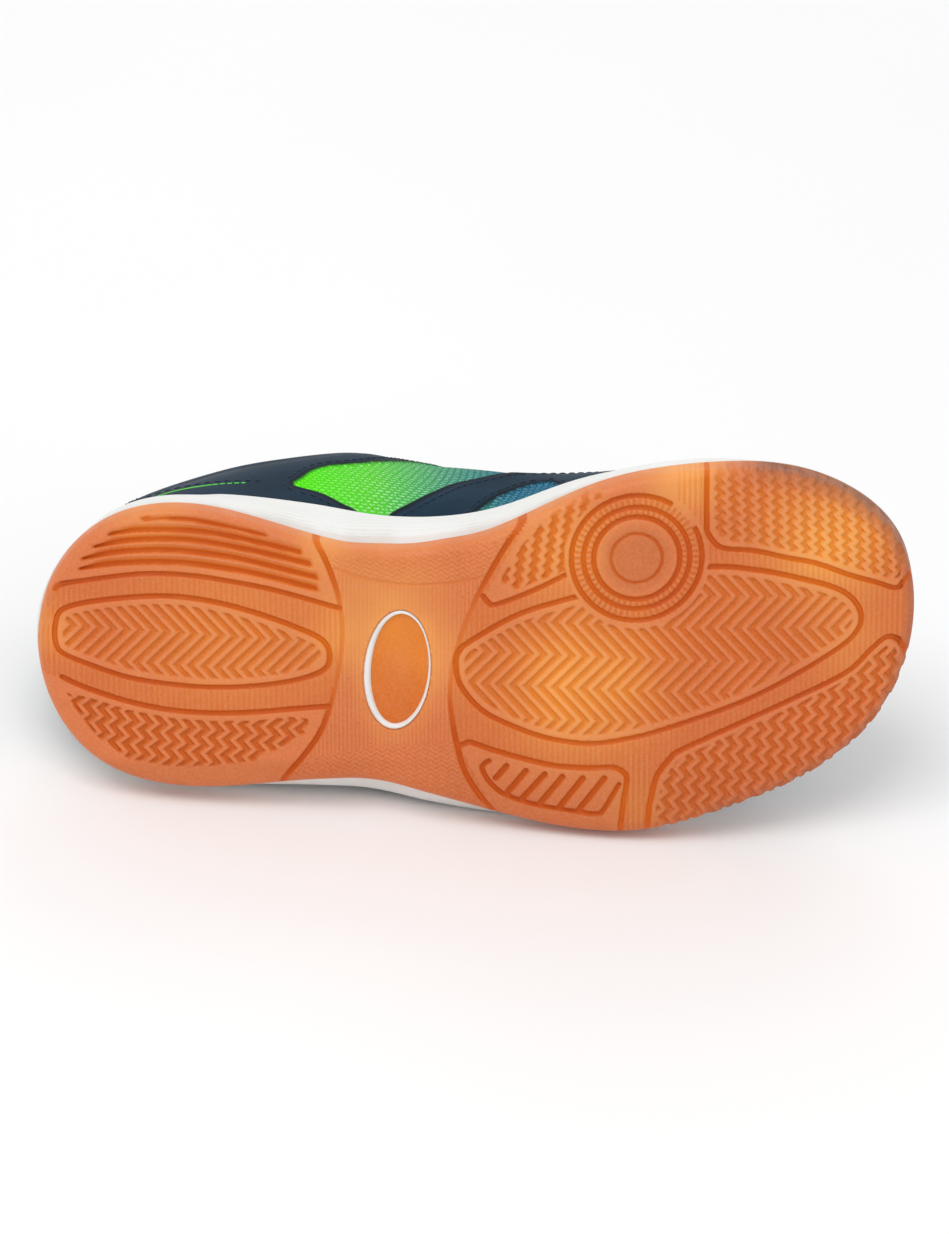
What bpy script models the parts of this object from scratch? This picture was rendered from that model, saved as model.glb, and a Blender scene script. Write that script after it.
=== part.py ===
"""A child's low indoor sports shoe for the left foot, lying on its lateral side.

Sizes are millimetres in the shoe's own frame: X from heel to toe, Y towards the lateral side, Z up from the
ground that the sole would stand on. The rest pose at the end turns the whole shoe onto its side.
"""

import math
from collections import namedtuple

import bmesh
import bpy
import numpy as np
from mathutils import Matrix, Vector

MM = 0.001
GAP = 0.3

# Sole sizes
SOLE_LENGTH = 211.0
HEEL_BEVEL_END = 14.0
HEEL_BEVEL_RISE = 2.5
TOE_SPRING_START = 131.0
TOE_SPRING = 13.0
ARCH_START = 72.0
ARCH_END = 101.0
ARCH_RISE = 2.6
EDGE_ROUND = 2.6
PLATE = 4.2
RIM_WALL = 1.8
LUG_DEPTH = 1.3
PIVOT = (144.4, -21.5)
PIVOT_RADIUS = 16.0
PIVOT_GROOVE = 1.3

# Upper, insole, tongue and lace sizes
WALL = 2.2
COLLAR_WALL = 5.0
INSOLE_THICKNESS = 3.2
TONGUE_THICKNESS = 3.6
TONGUE_TOP_RUN = 13.0
TONGUE_TOP_RISE = 12.5
LACE_WIDTH = 5.4
LACE_THICKNESS = 1.3
EYELET_REACH = 0.80
EYELET_ROWS = (6.25, 6.8, 7.35, 7.95, 8.6)

# How finely each form is divided
STEPS = 3
RIB_ROWS = 12
CAP_COLUMNS = 6

# Rest pose: turned about the shoe's own Z, then rolled onto the lateral side
REST_YAW = -5.10
REST_ROLL = -103.27
REST_SHIFT = (-104.354, -42.068, 36.333)

# The sole's outline, in order round it: heel, medial side, toe, lateral side.
# edge: outsole edge; flare: how far the midsole stands outside it; rim: top of the outsole above the tread.
SoleRow = namedtuple("SoleRow", "name edge_x edge_y flare rim")
SOLE_ROWS = [
    SoleRow("heel_back", 0.0, -0.3, 1.0, 7.0),
    SoleRow("medial_heel_round", 6.0, -20.6, 1.0, 7.0),
    SoleRow("medial_heel_side", 16.0, -30.4, 0.8, 7.0),
    SoleRow("medial_heel_wide", 31.0, -34.7, 0.4, 6.8),
    SoleRow("medial_heel_front", 58.7, -29.4, 1.8, 6.4),
    SoleRow("medial_waist", 87.4, -23.6, 3.4, 6.2),
    SoleRow("medial_ball_back", 113.0, -30.2, 1.6, 6.4),
    SoleRow("medial_ball", 135.3, -40.2, 0.4, 6.8),
    SoleRow("medial_ball_front", 159.0, -44.0, 0.3, 7.4),
    SoleRow("medial_toe_wide", 179.0, -42.6, 0.2, 8.2),
    SoleRow("medial_toe_side", 195.5, -35.4, 0.0, 9.0),
    SoleRow("medial_toe_corner", 207.2, -23.0, 0.0, 9.6),
    SoleRow("toe_tip", 211.0, -6.0, 0.0, 9.8),
    SoleRow("lateral_toe_corner", 202.6, 20.6, 0.0, 9.4),
    SoleRow("lateral_toe_side", 187.0, 33.6, 0.0, 8.8),
    SoleRow("lateral_toe_wide", 166.5, 41.8, 0.1, 8.0),
    SoleRow("lateral_ball_front", 146.0, 46.8, 0.3, 7.4),
    SoleRow("lateral_ball", 126.0, 45.8, 0.6, 6.8),
    SoleRow("lateral_ball_back", 103.0, 40.0, 3.9, 6.4),
    SoleRow("lateral_waist", 74.0, 33.8, 5.0, 6.2),
    SoleRow("lateral_heel_front", 58.7, 34.4, 3.8, 6.4),
    SoleRow("lateral_heel_wide", 37.0, 35.6, 1.4, 6.8),
    SoleRow("lateral_heel_side", 16.0, 29.8, 0.8, 7.0),
    SoleRow("lateral_heel_round", 6.0, 19.8, 1.0, 7.0),
]

# One rib of the upper at each row of the outline, from the feather edge on the sole to the collar or throat.
# inset: feather edge inside the outsole edge; out, up: lean of the wall at the sole; top: end of the rib;
# reach, drop: how far out from and below its end the rib still aims.
RibRow = namedtuple("RibRow", "name inset out up top_x top_y top_z reach drop")
RIB_ROWS_TABLE = [
    RibRow("heel_back", 3.6, 2.6, 20.0, 8.0, 0.0, 73.0, 1.5, 18.0),
    RibRow("medial_heel_round", 4.2, 1.8, 20.0, 11.0, -10.8, 72.5, 1.4, 17.0),
    RibRow("medial_heel_side", 5.0, 0.9, 19.0, 18.5, -17.6, 70.0, 1.2, 16.0),
    RibRow("medial_heel_wide", 5.0, 1.0, 17.0, 35.0, -24.2, 62.0, 2.6, 13.0),
    RibRow("medial_heel_front", 0.4, 4.5, 15.0, 55.0, -27.8, 59.0, 7.4, 12.0),
    RibRow("medial_waist", -2.4, 7.5, 15.0, 75.0, -24.0, 69.0, 14.5, 13.0),
    RibRow("medial_ball_back", 1.0, 5.5, 15.0, 88.0, -15.0, 77.5, 18.0, 11.0),
    RibRow("medial_ball", 3.6, 0.8, 13.0, 108.0, -13.2, 68.0, 12.0, 8.0),
    RibRow("medial_ball_front", 4.6, 1.2, 13.0, 122.0, -12.0, 59.5, 13.0, 6.0),
    RibRow("medial_toe_wide", 5.0, 1.6, 14.0, 130.0, -9.8, 55.0, 19.0, 5.0),
    RibRow("medial_toe_side", 5.4, 1.8, 15.0, 134.0, -7.4, 53.0, 27.0, 3.6),
    RibRow("medial_toe_corner", 5.6, 1.9, 16.0, 135.6, -5.2, 52.4, 33.0, 2.8),
    RibRow("toe_tip", 5.6, 2.0, 16.0, 136.0, -3.2, 52.2, 35.0, 2.6),
    RibRow("lateral_toe_corner", 5.6, 1.9, 15.0, 135.6, -1.2, 52.2, 32.0, 3.0),
    RibRow("lateral_toe_side", 5.4, 1.8, 13.0, 134.0, 1.2, 52.8, 26.0, 4.4),
    RibRow("lateral_toe_wide", 5.0, 1.6, 12.0, 130.0, 3.8, 54.6, 20.0, 6.5),
    RibRow("lateral_ball_front", 4.6, 1.6, 12.0, 122.0, 6.4, 59.0, 15.0, 8.0),
    RibRow("lateral_ball", 4.4, 1.8, 13.0, 108.0, 8.8, 67.5, 14.0, 9.0),
    RibRow("lateral_ball_back", 3.6, 2.4, 14.0, 88.0, 12.4, 77.0, 14.0, 11.0),
    RibRow("lateral_waist", 0.8, 3.0, 15.0, 75.0, 21.5, 68.0, 9.0, 13.0),
    RibRow("lateral_heel_front", 1.6, 2.4, 15.0, 55.0, 26.5, 57.5, 5.0, 12.0),
    RibRow("lateral_heel_wide", 4.0, 1.8, 17.0, 35.0, 25.5, 61.0, 3.0, 13.0),
    RibRow("lateral_heel_side", 3.6, 2.0, 19.0, 18.5, 19.5, 69.5, 2.0, 16.0),
    RibRow("lateral_heel_round", 3.6, 2.2, 20.0, 11.0, 11.5, 72.5, 1.8, 17.0),
]

# Top of the midsole along its length
MIDSOLE_TOP = [(-2.0, 23.4), (40.0, 22.4), (87.0, 20.4), (113.0, 17.6), (137.0, 16.2), (165.0, 17.6),
               (190.0, 21.6), (212.0, 25.2)]

# Lugs that stay proud of the channels cut round them. Points past the outline run off the edge of the sole.
HEEL_ARC = [(58.0, 52.0), (58.9, 33.7), (67.0, 23.6), (70.2, 15.7), (71.6, 8.8), (73.3, 1.3), (73.5, -3.8),
            (72.5, -9.1), (71.0, -17.7), (68.5, -24.1), (66.2, -28.3), (63.0, -52.0)]
FORE_ARC = [(124.0, -52.0), (118.5, -33.6), (113.6, -25.9), (107.0, -12.1), (101.9, -0.2), (99.9, 8.8),
            (99.4, 15.7), (100.6, 23.4), (102.3, 28.6), (104.8, 34.2), (108.5, 39.3), (114.0, 52.0)]
HEEL_LUGS = {
    "leaf": [(4.7, -4.1), (9.0, -9.4), (21.6, -11.2), (31.7, -12.0), (41.7, -10.6), (51.8, -8.4), (61.9, -4.5),
             (69.4, 2.4), (67.8, 6.8), (51.8, 10.1), (41.8, 10.7), (21.6, 7.5), (9.1, 3.1)],
    "medial": [(-8.0, -52.0), (-8.0, -13.0), (6.5, -14.8), (16.6, -16.9), (31.7, -18.0), (46.8, -16.4),
               (59.4, -13.5), (70.9, -9.8), (69.4, -17.9), (66.8, -24.4), (64.6, -28.3), (60.0, -52.0)],
    "lateral": [(-8.0, 52.0), (-8.0, 6.0), (5.5, 8.0), (13.0, 11.4), (26.7, 14.9), (41.8, 16.7), (56.9, 16.5),
                (68.4, 15.9), (65.4, 22.8), (57.4, 32.9), (55.0, 52.0)],
}
FORE_LUGS = {
    "leaf": [(100.9, 8.0), (103.0, 2.1), (108.2, -2.2), (117.2, -7.7), (129.2, -11.6), (144.9, -15.0),
             (161.4, -18.5), (168.8, -18.5), (175.6, -17.0), (183.0, -14.5), (190.5, -10.8), (196.5, -6.4),
             (197.6, -3.1), (195.0, 0.6), (186.8, 5.4), (179.3, 9.6), (164.3, 15.9), (149.4, 21.6),
             (134.4, 24.6), (119.4, 21.8), (106.0, 14.3)],
    "medial_rear": [(126.0, -52.0), (120.3, -34.0), (115.4, -26.5), (109.2, -12.6), (110.4, -10.6),
                    (127.5, -17.7), (144.0, -21.0), (153.4, -34.0), (153.4, -52.0)],
    "medial_front": [(161.5, -60.0), (160.8, -32.4), (162.6, -25.8), (165.7, -23.8), (171.5, -22.8),
                     (180.3, -20.2), (189.2, -17.2), (198.0, -13.9), (206.0, -10.5), (222.0, -13.0),
                     (222.0, -60.0)],
    "lateral_front": [(147.2, 60.0), (148.6, 34.7), (151.0, 30.3), (156.7, 26.2), (168.5, 21.0), (182.7, 15.4),
                      (192.2, 10.9), (199.3, 5.8), (202.1, 2.0), (205.0, 1.6), (222.0, 6.0), (222.0, 60.0)],
    "lateral_rear": [(104.0, 26.4), (105.4, 24.8), (116.5, 29.1), (123.9, 30.6), (138.5, 31.2), (141.7, 33.2),
                     (140.5, 44.5), (139.0, 60.0), (118.0, 60.0), (110.2, 38.5), (106.6, 33.6)],
}


def spline(knots, values):
    """A smooth curve through the values at the knots, as a function of the knot parameter."""
    knots = np.array(knots, dtype=float)
    values = np.array(values, dtype=float)
    gaps = np.diff(knots)
    count = len(knots)
    matrix = np.eye(count)
    right = np.zeros_like(values)
    for i in range(1, count - 1):
        matrix[i, i - 1:i + 2] = gaps[i - 1], 2.0 * (gaps[i - 1] + gaps[i]), gaps[i]
        right[i] = 6.0 * ((values[i + 1] - values[i]) / gaps[i] - (values[i] - values[i - 1]) / gaps[i - 1])
    bends = np.linalg.solve(matrix, right)

    def at(place):
        i = int(np.clip(np.searchsorted(knots, place) - 1, 0, count - 2))
        a = (knots[i + 1] - place) / gaps[i]
        b = 1.0 - a
        bend = (a ** 3 - a) * bends[i] + (b ** 3 - b) * bends[i + 1]
        return a * values[i] + b * values[i + 1] + bend * gaps[i] ** 2 / 6.0

    return at


def loop_spline(rows):
    """A closed spline through the rows, as a function of the row number."""
    count = len(rows)
    wrap = 5
    numbers = list(range(-wrap, count + wrap + 1))
    edges = [np.array((SOLE_ROWS[n % count].edge_x, SOLE_ROWS[n % count].edge_y)) for n in numbers]
    lengths = [0.0]
    for before, after in zip(edges, edges[1:]):
        lengths.append(lengths[-1] + float(np.linalg.norm(after - before)))
    curve = spline(lengths, [rows[n % count][1:] for n in numbers])
    return lambda number: curve(np.interp(number % count, numbers, lengths))


sole_at = loop_spline(SOLE_ROWS)
rib_at = loop_spline(RIB_ROWS_TABLE)
midsole_top_at = spline([row[0] for row in MIDSOLE_TOP], [row[1] for row in MIDSOLE_TOP])
ROWS_ROUND = len(SOLE_ROWS)
HALF = ROWS_ROUND // 2
LOOP_POINTS = ROWS_ROUND * STEPS


def smoothstep(low, high, value):
    share = min(max((value - low) / (high - low), 0.0), 1.0)
    return share * share * (3.0 - 2.0 * share)


def tread_height(x):
    """Height of the tread above the ground: bevelled at the heel, flat, then sprung up at the toe."""
    if x < HEEL_BEVEL_END:
        return HEEL_BEVEL_RISE * ((HEEL_BEVEL_END - x) / HEEL_BEVEL_END) ** 2
    if x > TOE_SPRING_START:
        return TOE_SPRING * ((x - TOE_SPRING_START) / (SOLE_LENGTH - TOE_SPRING_START)) ** 2
    return 0.0


def bottom_height(x, y):
    """The tread with the arch of the waist scooped out of it, deeper towards the medial side."""
    lean = 0.22 * y
    rise = smoothstep(ARCH_START - 2.0, ARCH_START + 11.0, x + 0.3 * lean)
    fall = 1.0 - smoothstep(ARCH_END - 11.0, ARCH_END + 2.0, x + lean)
    return tread_height(x) + ARCH_RISE * rise * fall * (1.0 - 0.010 * y)


def edge_frame(number):
    """The outsole edge at a row number and the level direction that points outwards there."""
    x, y = sole_at(number)[:2]
    ahead = sole_at(number + 0.02)[:2]
    behind = sole_at(number - 0.02)[:2]
    tangent = (ahead - behind) / np.linalg.norm(ahead - behind)
    return np.array((x, y)), np.array((tangent[1], -tangent[0]))


def outline(outset, height):
    """A loop of points round the sole; outset and height are functions of the row number and of x, y."""
    points = []
    for i in range(LOOP_POINTS):
        number = i / STEPS
        edge, outward = edge_frame(number)
        x, y = edge + outward * outset(number)
        points.append((x, y, height(number, x, y)))
    return points


def rib_point(number, share):
    """A point of the upper's outside: share 0 is on the feather edge, 1 is at the collar or throat."""
    inset, out, up, top_x, top_y, top_z, reach, drop = rib_at(number)
    edge, outward = edge_frame(number)
    foot_x, foot_y = edge - outward * inset
    foot = np.array((foot_x, foot_y, midsole_top_at(foot_x) + GAP))
    away = np.array((outward[0], outward[1], 0.0))
    upright = np.array((0.0, 0.0, 1.0))
    top = np.array((top_x, top_y, top_z))
    low_aim = foot + away * out + upright * up
    high_aim = top + away * reach - upright * drop
    rest = 1.0 - share
    return rest ** 3 * foot + 3 * rest ** 2 * share * low_aim + 3 * rest * share ** 2 * high_aim + share ** 3 * top


def throat_row(row, under):
    """Points across the instep at a row: under the medial eyelets, over the throat, under the lateral ones."""
    medial = [rib_point(row, s) for s in np.linspace(under, 1.0, 9)]
    lateral = [rib_point(ROWS_ROUND - row, s) for s in np.linspace(1.0, under, 9)]
    start, end = medial[-1], lateral[0]
    handle = 0.36 * np.linalg.norm(end - start)
    leave = (medial[-1] - medial[-2]) / np.linalg.norm(medial[-1] - medial[-2])
    arrive = (lateral[0] - lateral[1]) / np.linalg.norm(lateral[0] - lateral[1])
    bridge = []
    for share in np.linspace(0.0, 1.0, 13)[1:-1]:
        rest = 1.0 - share
        bridge.append(rest ** 3 * start + 3 * rest ** 2 * share * (start + leave * handle)
                      + 3 * rest * share ** 2 * (end + arrive * handle) + share ** 3 * end)
    return np.array(medial + bridge + lateral)


def across(row, under, share):
    """A point of the instep at a share of the way across a row."""
    points = throat_row(row, under)
    steps = np.linalg.norm(np.diff(points, axis=0), axis=1)
    travelled = np.concatenate(([0.0], np.cumsum(steps)))
    place = share * travelled[-1]
    return np.array([np.interp(place, travelled, points[:, axis]) for axis in range(3)])


def instep(row, under, share, lift):
    """A point a given lift off the instep, square to it."""
    point = across(row, under, share)
    sideways = across(row, under, min(share + 0.03, 1.0)) - across(row, under, max(share - 0.03, 0.0))
    forwards = across(row + 0.1, under, share) - across(row - 0.1, under, share)
    normal = np.cross(forwards, sideways)
    normal = normal / np.linalg.norm(normal)
    if normal[2] < 0.0:
        normal = -normal
    return point + normal * lift


def new_verts(form, points):
    return [form.verts.new(Vector(tuple(point)) * MM) for point in points]


def skin(form, lower, upper):
    """Faces between two closed loops of vertices."""
    count = len(lower)
    for i in range(count):
        j = (i + 1) % count
        form.faces.new((lower[i], lower[j], upper[j], upper[i]))


def cap(form, loop, height):
    """Closes a loop of vertices with rows of faces that run from the medial to the lateral side."""
    count = len(loop)
    rows = []
    for i in range(1, count // 2):
        left, right = loop[i], loop[count - i]
        row = [left]
        for column in range(1, CAP_COLUMNS):
            place = left.co.lerp(right.co, column / CAP_COLUMNS) / MM
            row.append(form.verts.new((place.x * MM, place.y * MM, height(place.x, place.y) * MM)))
        rows.append(row + [right])
    for before, after in zip(rows, rows[1:]):
        for column in range(CAP_COLUMNS):
            form.faces.new((before[column], before[column + 1], after[column + 1], after[column]))
    for end, row in ((loop[0], rows[0]), (loop[count // 2], rows[-1])):
        for column in range(CAP_COLUMNS):
            form.faces.new((end, row[column], row[column + 1]))


def finish(name, form, closed=True):
    """Turns a built form into an object of the scene."""
    if closed:
        bmesh.ops.recalc_face_normals(form, faces=form.faces)
    mesh = bpy.data.meshes.new(name)
    form.to_mesh(mesh)
    form.free()
    mesh.shade_smooth()
    mesh.set_sharp_from_angle(angle=math.radians(40.0))
    return bpy.data.objects.new(name, mesh)


def stacked(name, loops, low_height, high_height):
    """A solid made of loops from bottom to top, closed by curved caps."""
    form = bmesh.new()
    rings = [new_verts(form, loop) for loop in loops]
    for lower, upper in zip(rings, rings[1:]):
        skin(form, lower, upper)
    cap(form, rings[0], low_height)
    cap(form, rings[-1], high_height)
    return finish(name, form)


def rim_height(number, x, y):
    edge_x, edge_y, flare, rim = sole_at(number)
    return bottom_height(edge_x, edge_y) + rim


def plate_top(x, y):
    return bottom_height(x, y) + PLATE


def outsole_body():
    """The outsole: tread plate, rounded edge and a rim that stands up round the midsole."""
    loops = [
        outline(lambda n: -EDGE_ROUND, lambda n, x, y: bottom_height(x, y)),
        outline(lambda n: -0.3 * EDGE_ROUND, lambda n, x, y: bottom_height(x, y) + 0.3 * EDGE_ROUND),
        outline(lambda n: 0.0, lambda n, x, y: bottom_height(x, y) + EDGE_ROUND),
        outline(lambda n: 0.0, rim_height),
        outline(lambda n: -RIM_WALL, rim_height),
        outline(lambda n: -RIM_WALL, lambda n, x, y: plate_top(x, y)),
    ]
    return stacked("outsole", loops, bottom_height, plate_top)


def midsole_body():
    """The midsole: it drops inside the outsole's rim, flares over it and narrows to the feather edge."""
    def feather(number, beyond):
        return beyond - rib_at(number)[0]

    def share_of_wall(share):
        def height(number, x, y):
            low = rim_height(number, x, y) + GAP
            return low + share * (midsole_top_at(x) - low)
        return height

    inside = RIM_WALL + GAP
    loops = [
        outline(lambda n: -inside, lambda n, x, y: plate_top(x, y) + GAP),
        outline(lambda n: -inside, share_of_wall(0.0)),
        outline(lambda n: 0.5 * sole_at(n)[2] - 0.2, share_of_wall(0.0)),
        outline(lambda n: sole_at(n)[2] - 0.1, share_of_wall(0.32)),
        outline(lambda n: 0.5 * (sole_at(n)[2] + feather(n, 1.2)), share_of_wall(0.66)),
        outline(lambda n: feather(n, 1.0), share_of_wall(0.94)),
        outline(lambda n: feather(n, 0.5), share_of_wall(1.0)),
    ]
    return stacked("midsole", loops, lambda x, y: plate_top(x, y) + GAP, lambda x, y: midsole_top_at(x))


def insole_body():
    """The footbed, clear of the upper's wall all round."""
    inside = WALL + 0.6

    def at_height(above):
        return lambda n, x, y: midsole_top_at(x) + above

    loops = [
        outline(lambda n: -rib_at(n)[0] - inside, at_height(GAP)),
        outline(lambda n: -rib_at(n)[0] - inside, at_height(INSOLE_THICKNESS - 0.8)),
        outline(lambda n: -rib_at(n)[0] - inside - 0.8, at_height(INSOLE_THICKNESS)),
    ]
    return stacked("insole", loops, lambda x, y: midsole_top_at(x) + GAP,
                   lambda x, y: midsole_top_at(x) + INSOLE_THICKNESS)


def collar_padding(number):
    """1 round the padded collar, 0 along the throat."""
    row = min(number, ROWS_ROUND - number)
    return 1.0 - smoothstep(4.6, 6.2, row)


def upper_body():
    """The upper as one skin from the feather edge to the collar and throat, thickened inwards."""
    form = bmesh.new()
    rings = []
    for j in range(RIB_ROWS + 1):
        rings.append(new_verts(form, [rib_point(i / STEPS, j / RIB_ROWS) for i in range(LOOP_POINTS)]))
    for lower, upper in zip(rings, rings[1:]):
        skin(form, lower, upper)
    upper = finish("upper", form, closed=False)
    padding = upper.vertex_groups.new(name="padding")
    for j in range(RIB_ROWS + 1):
        for i in range(LOOP_POINTS):
            weight = collar_padding(i / STEPS) * smoothstep(0.55, 0.86, j / RIB_ROWS)
            padding.add([j * LOOP_POINTS + i], weight, "REPLACE")
    thicken(upper, COLLAR_WALL)
    shell = upper.modifiers["thickness"]
    shell.vertex_group = "padding"
    shell.thickness_vertex_group = WALL / COLLAR_WALL
    return upper


def thicken(thing, thickness, outwards=False):
    shell = thing.modifiers.new("thickness", "SOLIDIFY")
    shell.thickness = thickness * MM
    shell.offset = 1.0 if outwards else -1.0
    shell.use_rim = True


def sheet(name, rows):
    """An open sheet through rows of points."""
    form = bmesh.new()
    lines = [new_verts(form, row) for row in rows]
    for before, after in zip(lines, lines[1:]):
        for k in range(len(before) - 1):
            form.faces.new((before[k], before[k + 1], after[k + 1], after[k]))
    return finish(name, form, closed=False)


def tongue_body():
    """The tongue lies under the throat, a gap below the upper's wall, and rises free above the top eyelets."""
    under = 0.78
    depth = -(WALL + GAP + 0.45)
    columns = 12
    rows = []
    for row, low, high in ((9.2, 0.06, 0.94), (8.5, 0.04, 0.96), (7.9, 0.05, 0.95), (7.3, 0.08, 0.92),
                           (6.8, 0.13, 0.87), (6.4, 0.19, 0.81), (6.05, 0.24, 0.76)):
        rows.append([instep(row, under, s, depth) for s in np.linspace(low, high, columns + 1)])
    last = np.array(rows[-1])
    centre = last[columns // 2]
    for share in (0.3, 0.65, 1.0):
        width = 1.0 + 0.28 * share
        move = np.array((-TONGUE_TOP_RUN * share, 0.0, TONGUE_TOP_RISE * share * (0.75 + 0.25 * share)))
        free = centre + (last - centre) * np.array((1.0, width, 1.0)) + move
        rows.append(list(free))
    tongue = sheet("tongue", rows)
    thicken(tongue, TONGUE_THICKNESS)
    return tongue


def lace_strip(name, first_row, first_share, last_row, last_share, lift):
    """One flat run of lace over the instep between two eyelets."""
    steps = 10
    path = []
    for share in np.linspace(0.0, 1.0, steps + 1):
        row = first_row + (last_row - first_row) * share
        side = first_share + (last_share - first_share) * share
        path.append((instep(row, EYELET_REACH, side, lift), instep(row, EYELET_REACH, side, lift + 1.0)))
    rows = []
    for i, (point, above) in enumerate(path):
        before = path[max(i - 1, 0)][0]
        after = path[min(i + 1, steps)][0]
        along = (after - before) / np.linalg.norm(after - before)
        side = np.cross(along, above - point)
        side = side / np.linalg.norm(side)
        rows.append([point - side * LACE_WIDTH / 2, point + side * LACE_WIDTH / 2])
    strip = sheet(name, rows)
    thicken(strip, LACE_THICKNESS, outwards=True)
    return strip


def lace_strips():
    """A straight run at the lowest eyelets, then pairs that cross on the way up."""
    low, high = 0.10, 0.90
    strips = [lace_strip("lace_bar", EYELET_ROWS[-1], low, EYELET_ROWS[-1], high, 0.9)]
    for i in range(len(EYELET_ROWS) - 1):
        upper_row, lower_row = EYELET_ROWS[i], EYELET_ROWS[i + 1]
        strips.append(lace_strip(f"lace_under_{i}", lower_row, low, upper_row, high, 0.9))
        strips.append(lace_strip(f"lace_over_{i}", lower_row, high, upper_row, low, 1.35))
    return strips


def closed_curve(points, steps):
    """A rounded closed line through the points."""
    count = len(points)
    places = [np.array(point) for point in points]
    curve = []
    for i in range(count):
        before, here, there, after = (places[(i + k) % count] for k in (-1, 0, 1, 2))
        for share in np.arange(steps) / steps:
            curve.append(0.5 * (2 * here + (there - before) * share
                                + (2 * before - 5 * here + 4 * there - after) * share ** 2
                                + (3 * here - before - 3 * there + after) * share ** 3))
    return curve


def tread_prism(name, points, low, high):
    """An outline drawn on the tread, raised from low to high above it along its curve."""
    form = bmesh.new()
    form.faces.new([form.verts.new((x * MM, y * MM, 0.0)) for x, y in points])
    for x in np.arange(-4.0, 222.0, 9.0):
        everything = form.verts[:] + form.edges[:] + form.faces[:]
        bmesh.ops.bisect_plane(form, geom=everything, plane_co=(x * MM, 0.0, 0.0), plane_no=(1.0, 0.0, 0.0))
    lower = form.verts[:]
    raised = bmesh.ops.extrude_face_region(form, geom=form.faces[:])
    upper = [item for item in raised["geom"] if isinstance(item, bmesh.types.BMVert)]
    for vertices, level in ((lower, low), (upper, high)):
        for vertex in vertices:
            vertex.co.z = (bottom_height(vertex.co.x / MM, vertex.co.y / MM) + level) * MM
    return finish(name, form)


def ring_prism(name, centre, inner, outer, low, high, count=40):
    """A round groove drawn on the tread."""
    form = bmesh.new()
    loops = []
    for radius, level in ((inner, low), (outer, low), (outer, high), (inner, high)):
        points = []
        for i in range(count):
            angle = 2 * math.pi * i / count
            x = centre[0] + radius * math.cos(angle)
            y = centre[1] + radius * math.sin(angle)
            points.append((x, y, bottom_height(x, y) + level))
        loops.append(new_verts(form, points))
    for i in range(4):
        skin(form, loops[i], loops[(i + 1) % 4])
    return finish(name, form)


def boolean(thing, operation, other):
    cut = thing.modifiers.new(f"{operation.lower()}_{other.name}", "BOOLEAN")
    cut.operation = operation
    cut.solver = "EXACT"
    cut.object = other


def material(name, colour, roughness):
    made = bpy.data.materials.new(name)
    made.use_nodes = True
    shader = made.node_tree.nodes["Principled BSDF"]
    shader.inputs["Base Color"].default_value = (*colour, 1.0)
    shader.inputs["Roughness"].default_value = roughness
    return made


def clear_scene():
    for thing in list(bpy.data.objects):
        bpy.data.objects.remove(thing, do_unlink=True)


def tread_cutters():
    """The channels between the lugs of heel and forefoot, and the groove round the pivot disc."""
    helpers = []
    heel = tread_prism("heel_channels", [(-8.0, -52.0), (-8.0, 52.0)] + HEEL_ARC, -3.0, LUG_DEPTH)
    fore = tread_prism("fore_channels", FORE_ARC + [(226.0, 62.0), (226.0, -62.0)], -3.0, LUG_DEPTH)
    for zone, lugs in ((heel, HEEL_LUGS), (fore, FORE_LUGS)):
        for name, points in lugs.items():
            shape = closed_curve(points, 3) if name == "leaf" else points
            lug = tread_prism(f"{zone.name}_{name}", shape, -4.0, LUG_DEPTH + 1.0)
            boolean(zone, "DIFFERENCE", lug)
            helpers.append(lug)
    inner = PIVOT_RADIUS - PIVOT_GROOVE
    disc = tread_prism("pivot_disc", [(PIVOT[0] + inner * math.cos(a), PIVOT[1] + inner * math.sin(a))
                                      for a in np.linspace(0.0, 2 * math.pi, 33)[:-1]], -4.0, LUG_DEPTH + 1.0)
    boolean(fore, "DIFFERENCE", disc)
    helpers.append(disc)
    ring = ring_prism("pivot_groove", PIVOT, inner, PIVOT_RADIUS, -2.0, LUG_DEPTH - 0.1)
    return [heel, fore, ring], helpers


def build():
    clear_scene()
    pieces = bpy.data.collections.new("indoor_sports_shoe")
    cutters = bpy.data.collections.new("cutters")
    for collection in (pieces, cutters):
        bpy.context.scene.collection.children.link(collection)
    rest = bpy.data.objects.new("rest_pose", None)
    pieces.objects.link(rest)

    gum = material("gum_rubber", (0.72, 0.25, 0.07), 0.55)
    foam = material("white_foam", (0.86, 0.87, 0.86), 0.6)
    fabric = material("navy_fabric", (0.012, 0.027, 0.055), 0.7)
    footbed = material("footbed_fabric", (0.03, 0.035, 0.05), 0.9)
    padding = material("tongue_fabric", (0.015, 0.03, 0.06), 0.85)
    cord = material("lace_weave", (0.02, 0.04, 0.08), 0.9)

    outsole = outsole_body()
    strips = lace_strips()
    laces = strips[0]
    laces.name = "laces"
    named = [(outsole, gum), (midsole_body(), foam), (upper_body(), fabric), (insole_body(), footbed),
             (tongue_body(), padding), (laces, cord)]
    for thing, surface in named:
        thing.data.materials.append(surface)
        thing.parent = rest
        pieces.objects.link(thing)

    channels, helpers = tread_cutters()
    for cutter in channels:
        boolean(outsole, "DIFFERENCE", cutter)
    for strip in strips[1:]:
        boolean(laces, "UNION", strip)
    for helper in channels + helpers + strips[1:]:
        helper.hide_render = True
        helper.display_type = "WIRE"
        helper.parent = rest
        cutters.objects.link(helper)

    turn = Matrix.Rotation(math.radians(REST_ROLL), 4, "X") @ Matrix.Rotation(math.radians(REST_YAW), 4, "Z")
    rest.matrix_world = Matrix.Translation(Vector(REST_SHIFT) * MM) @ turn


build()
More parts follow.
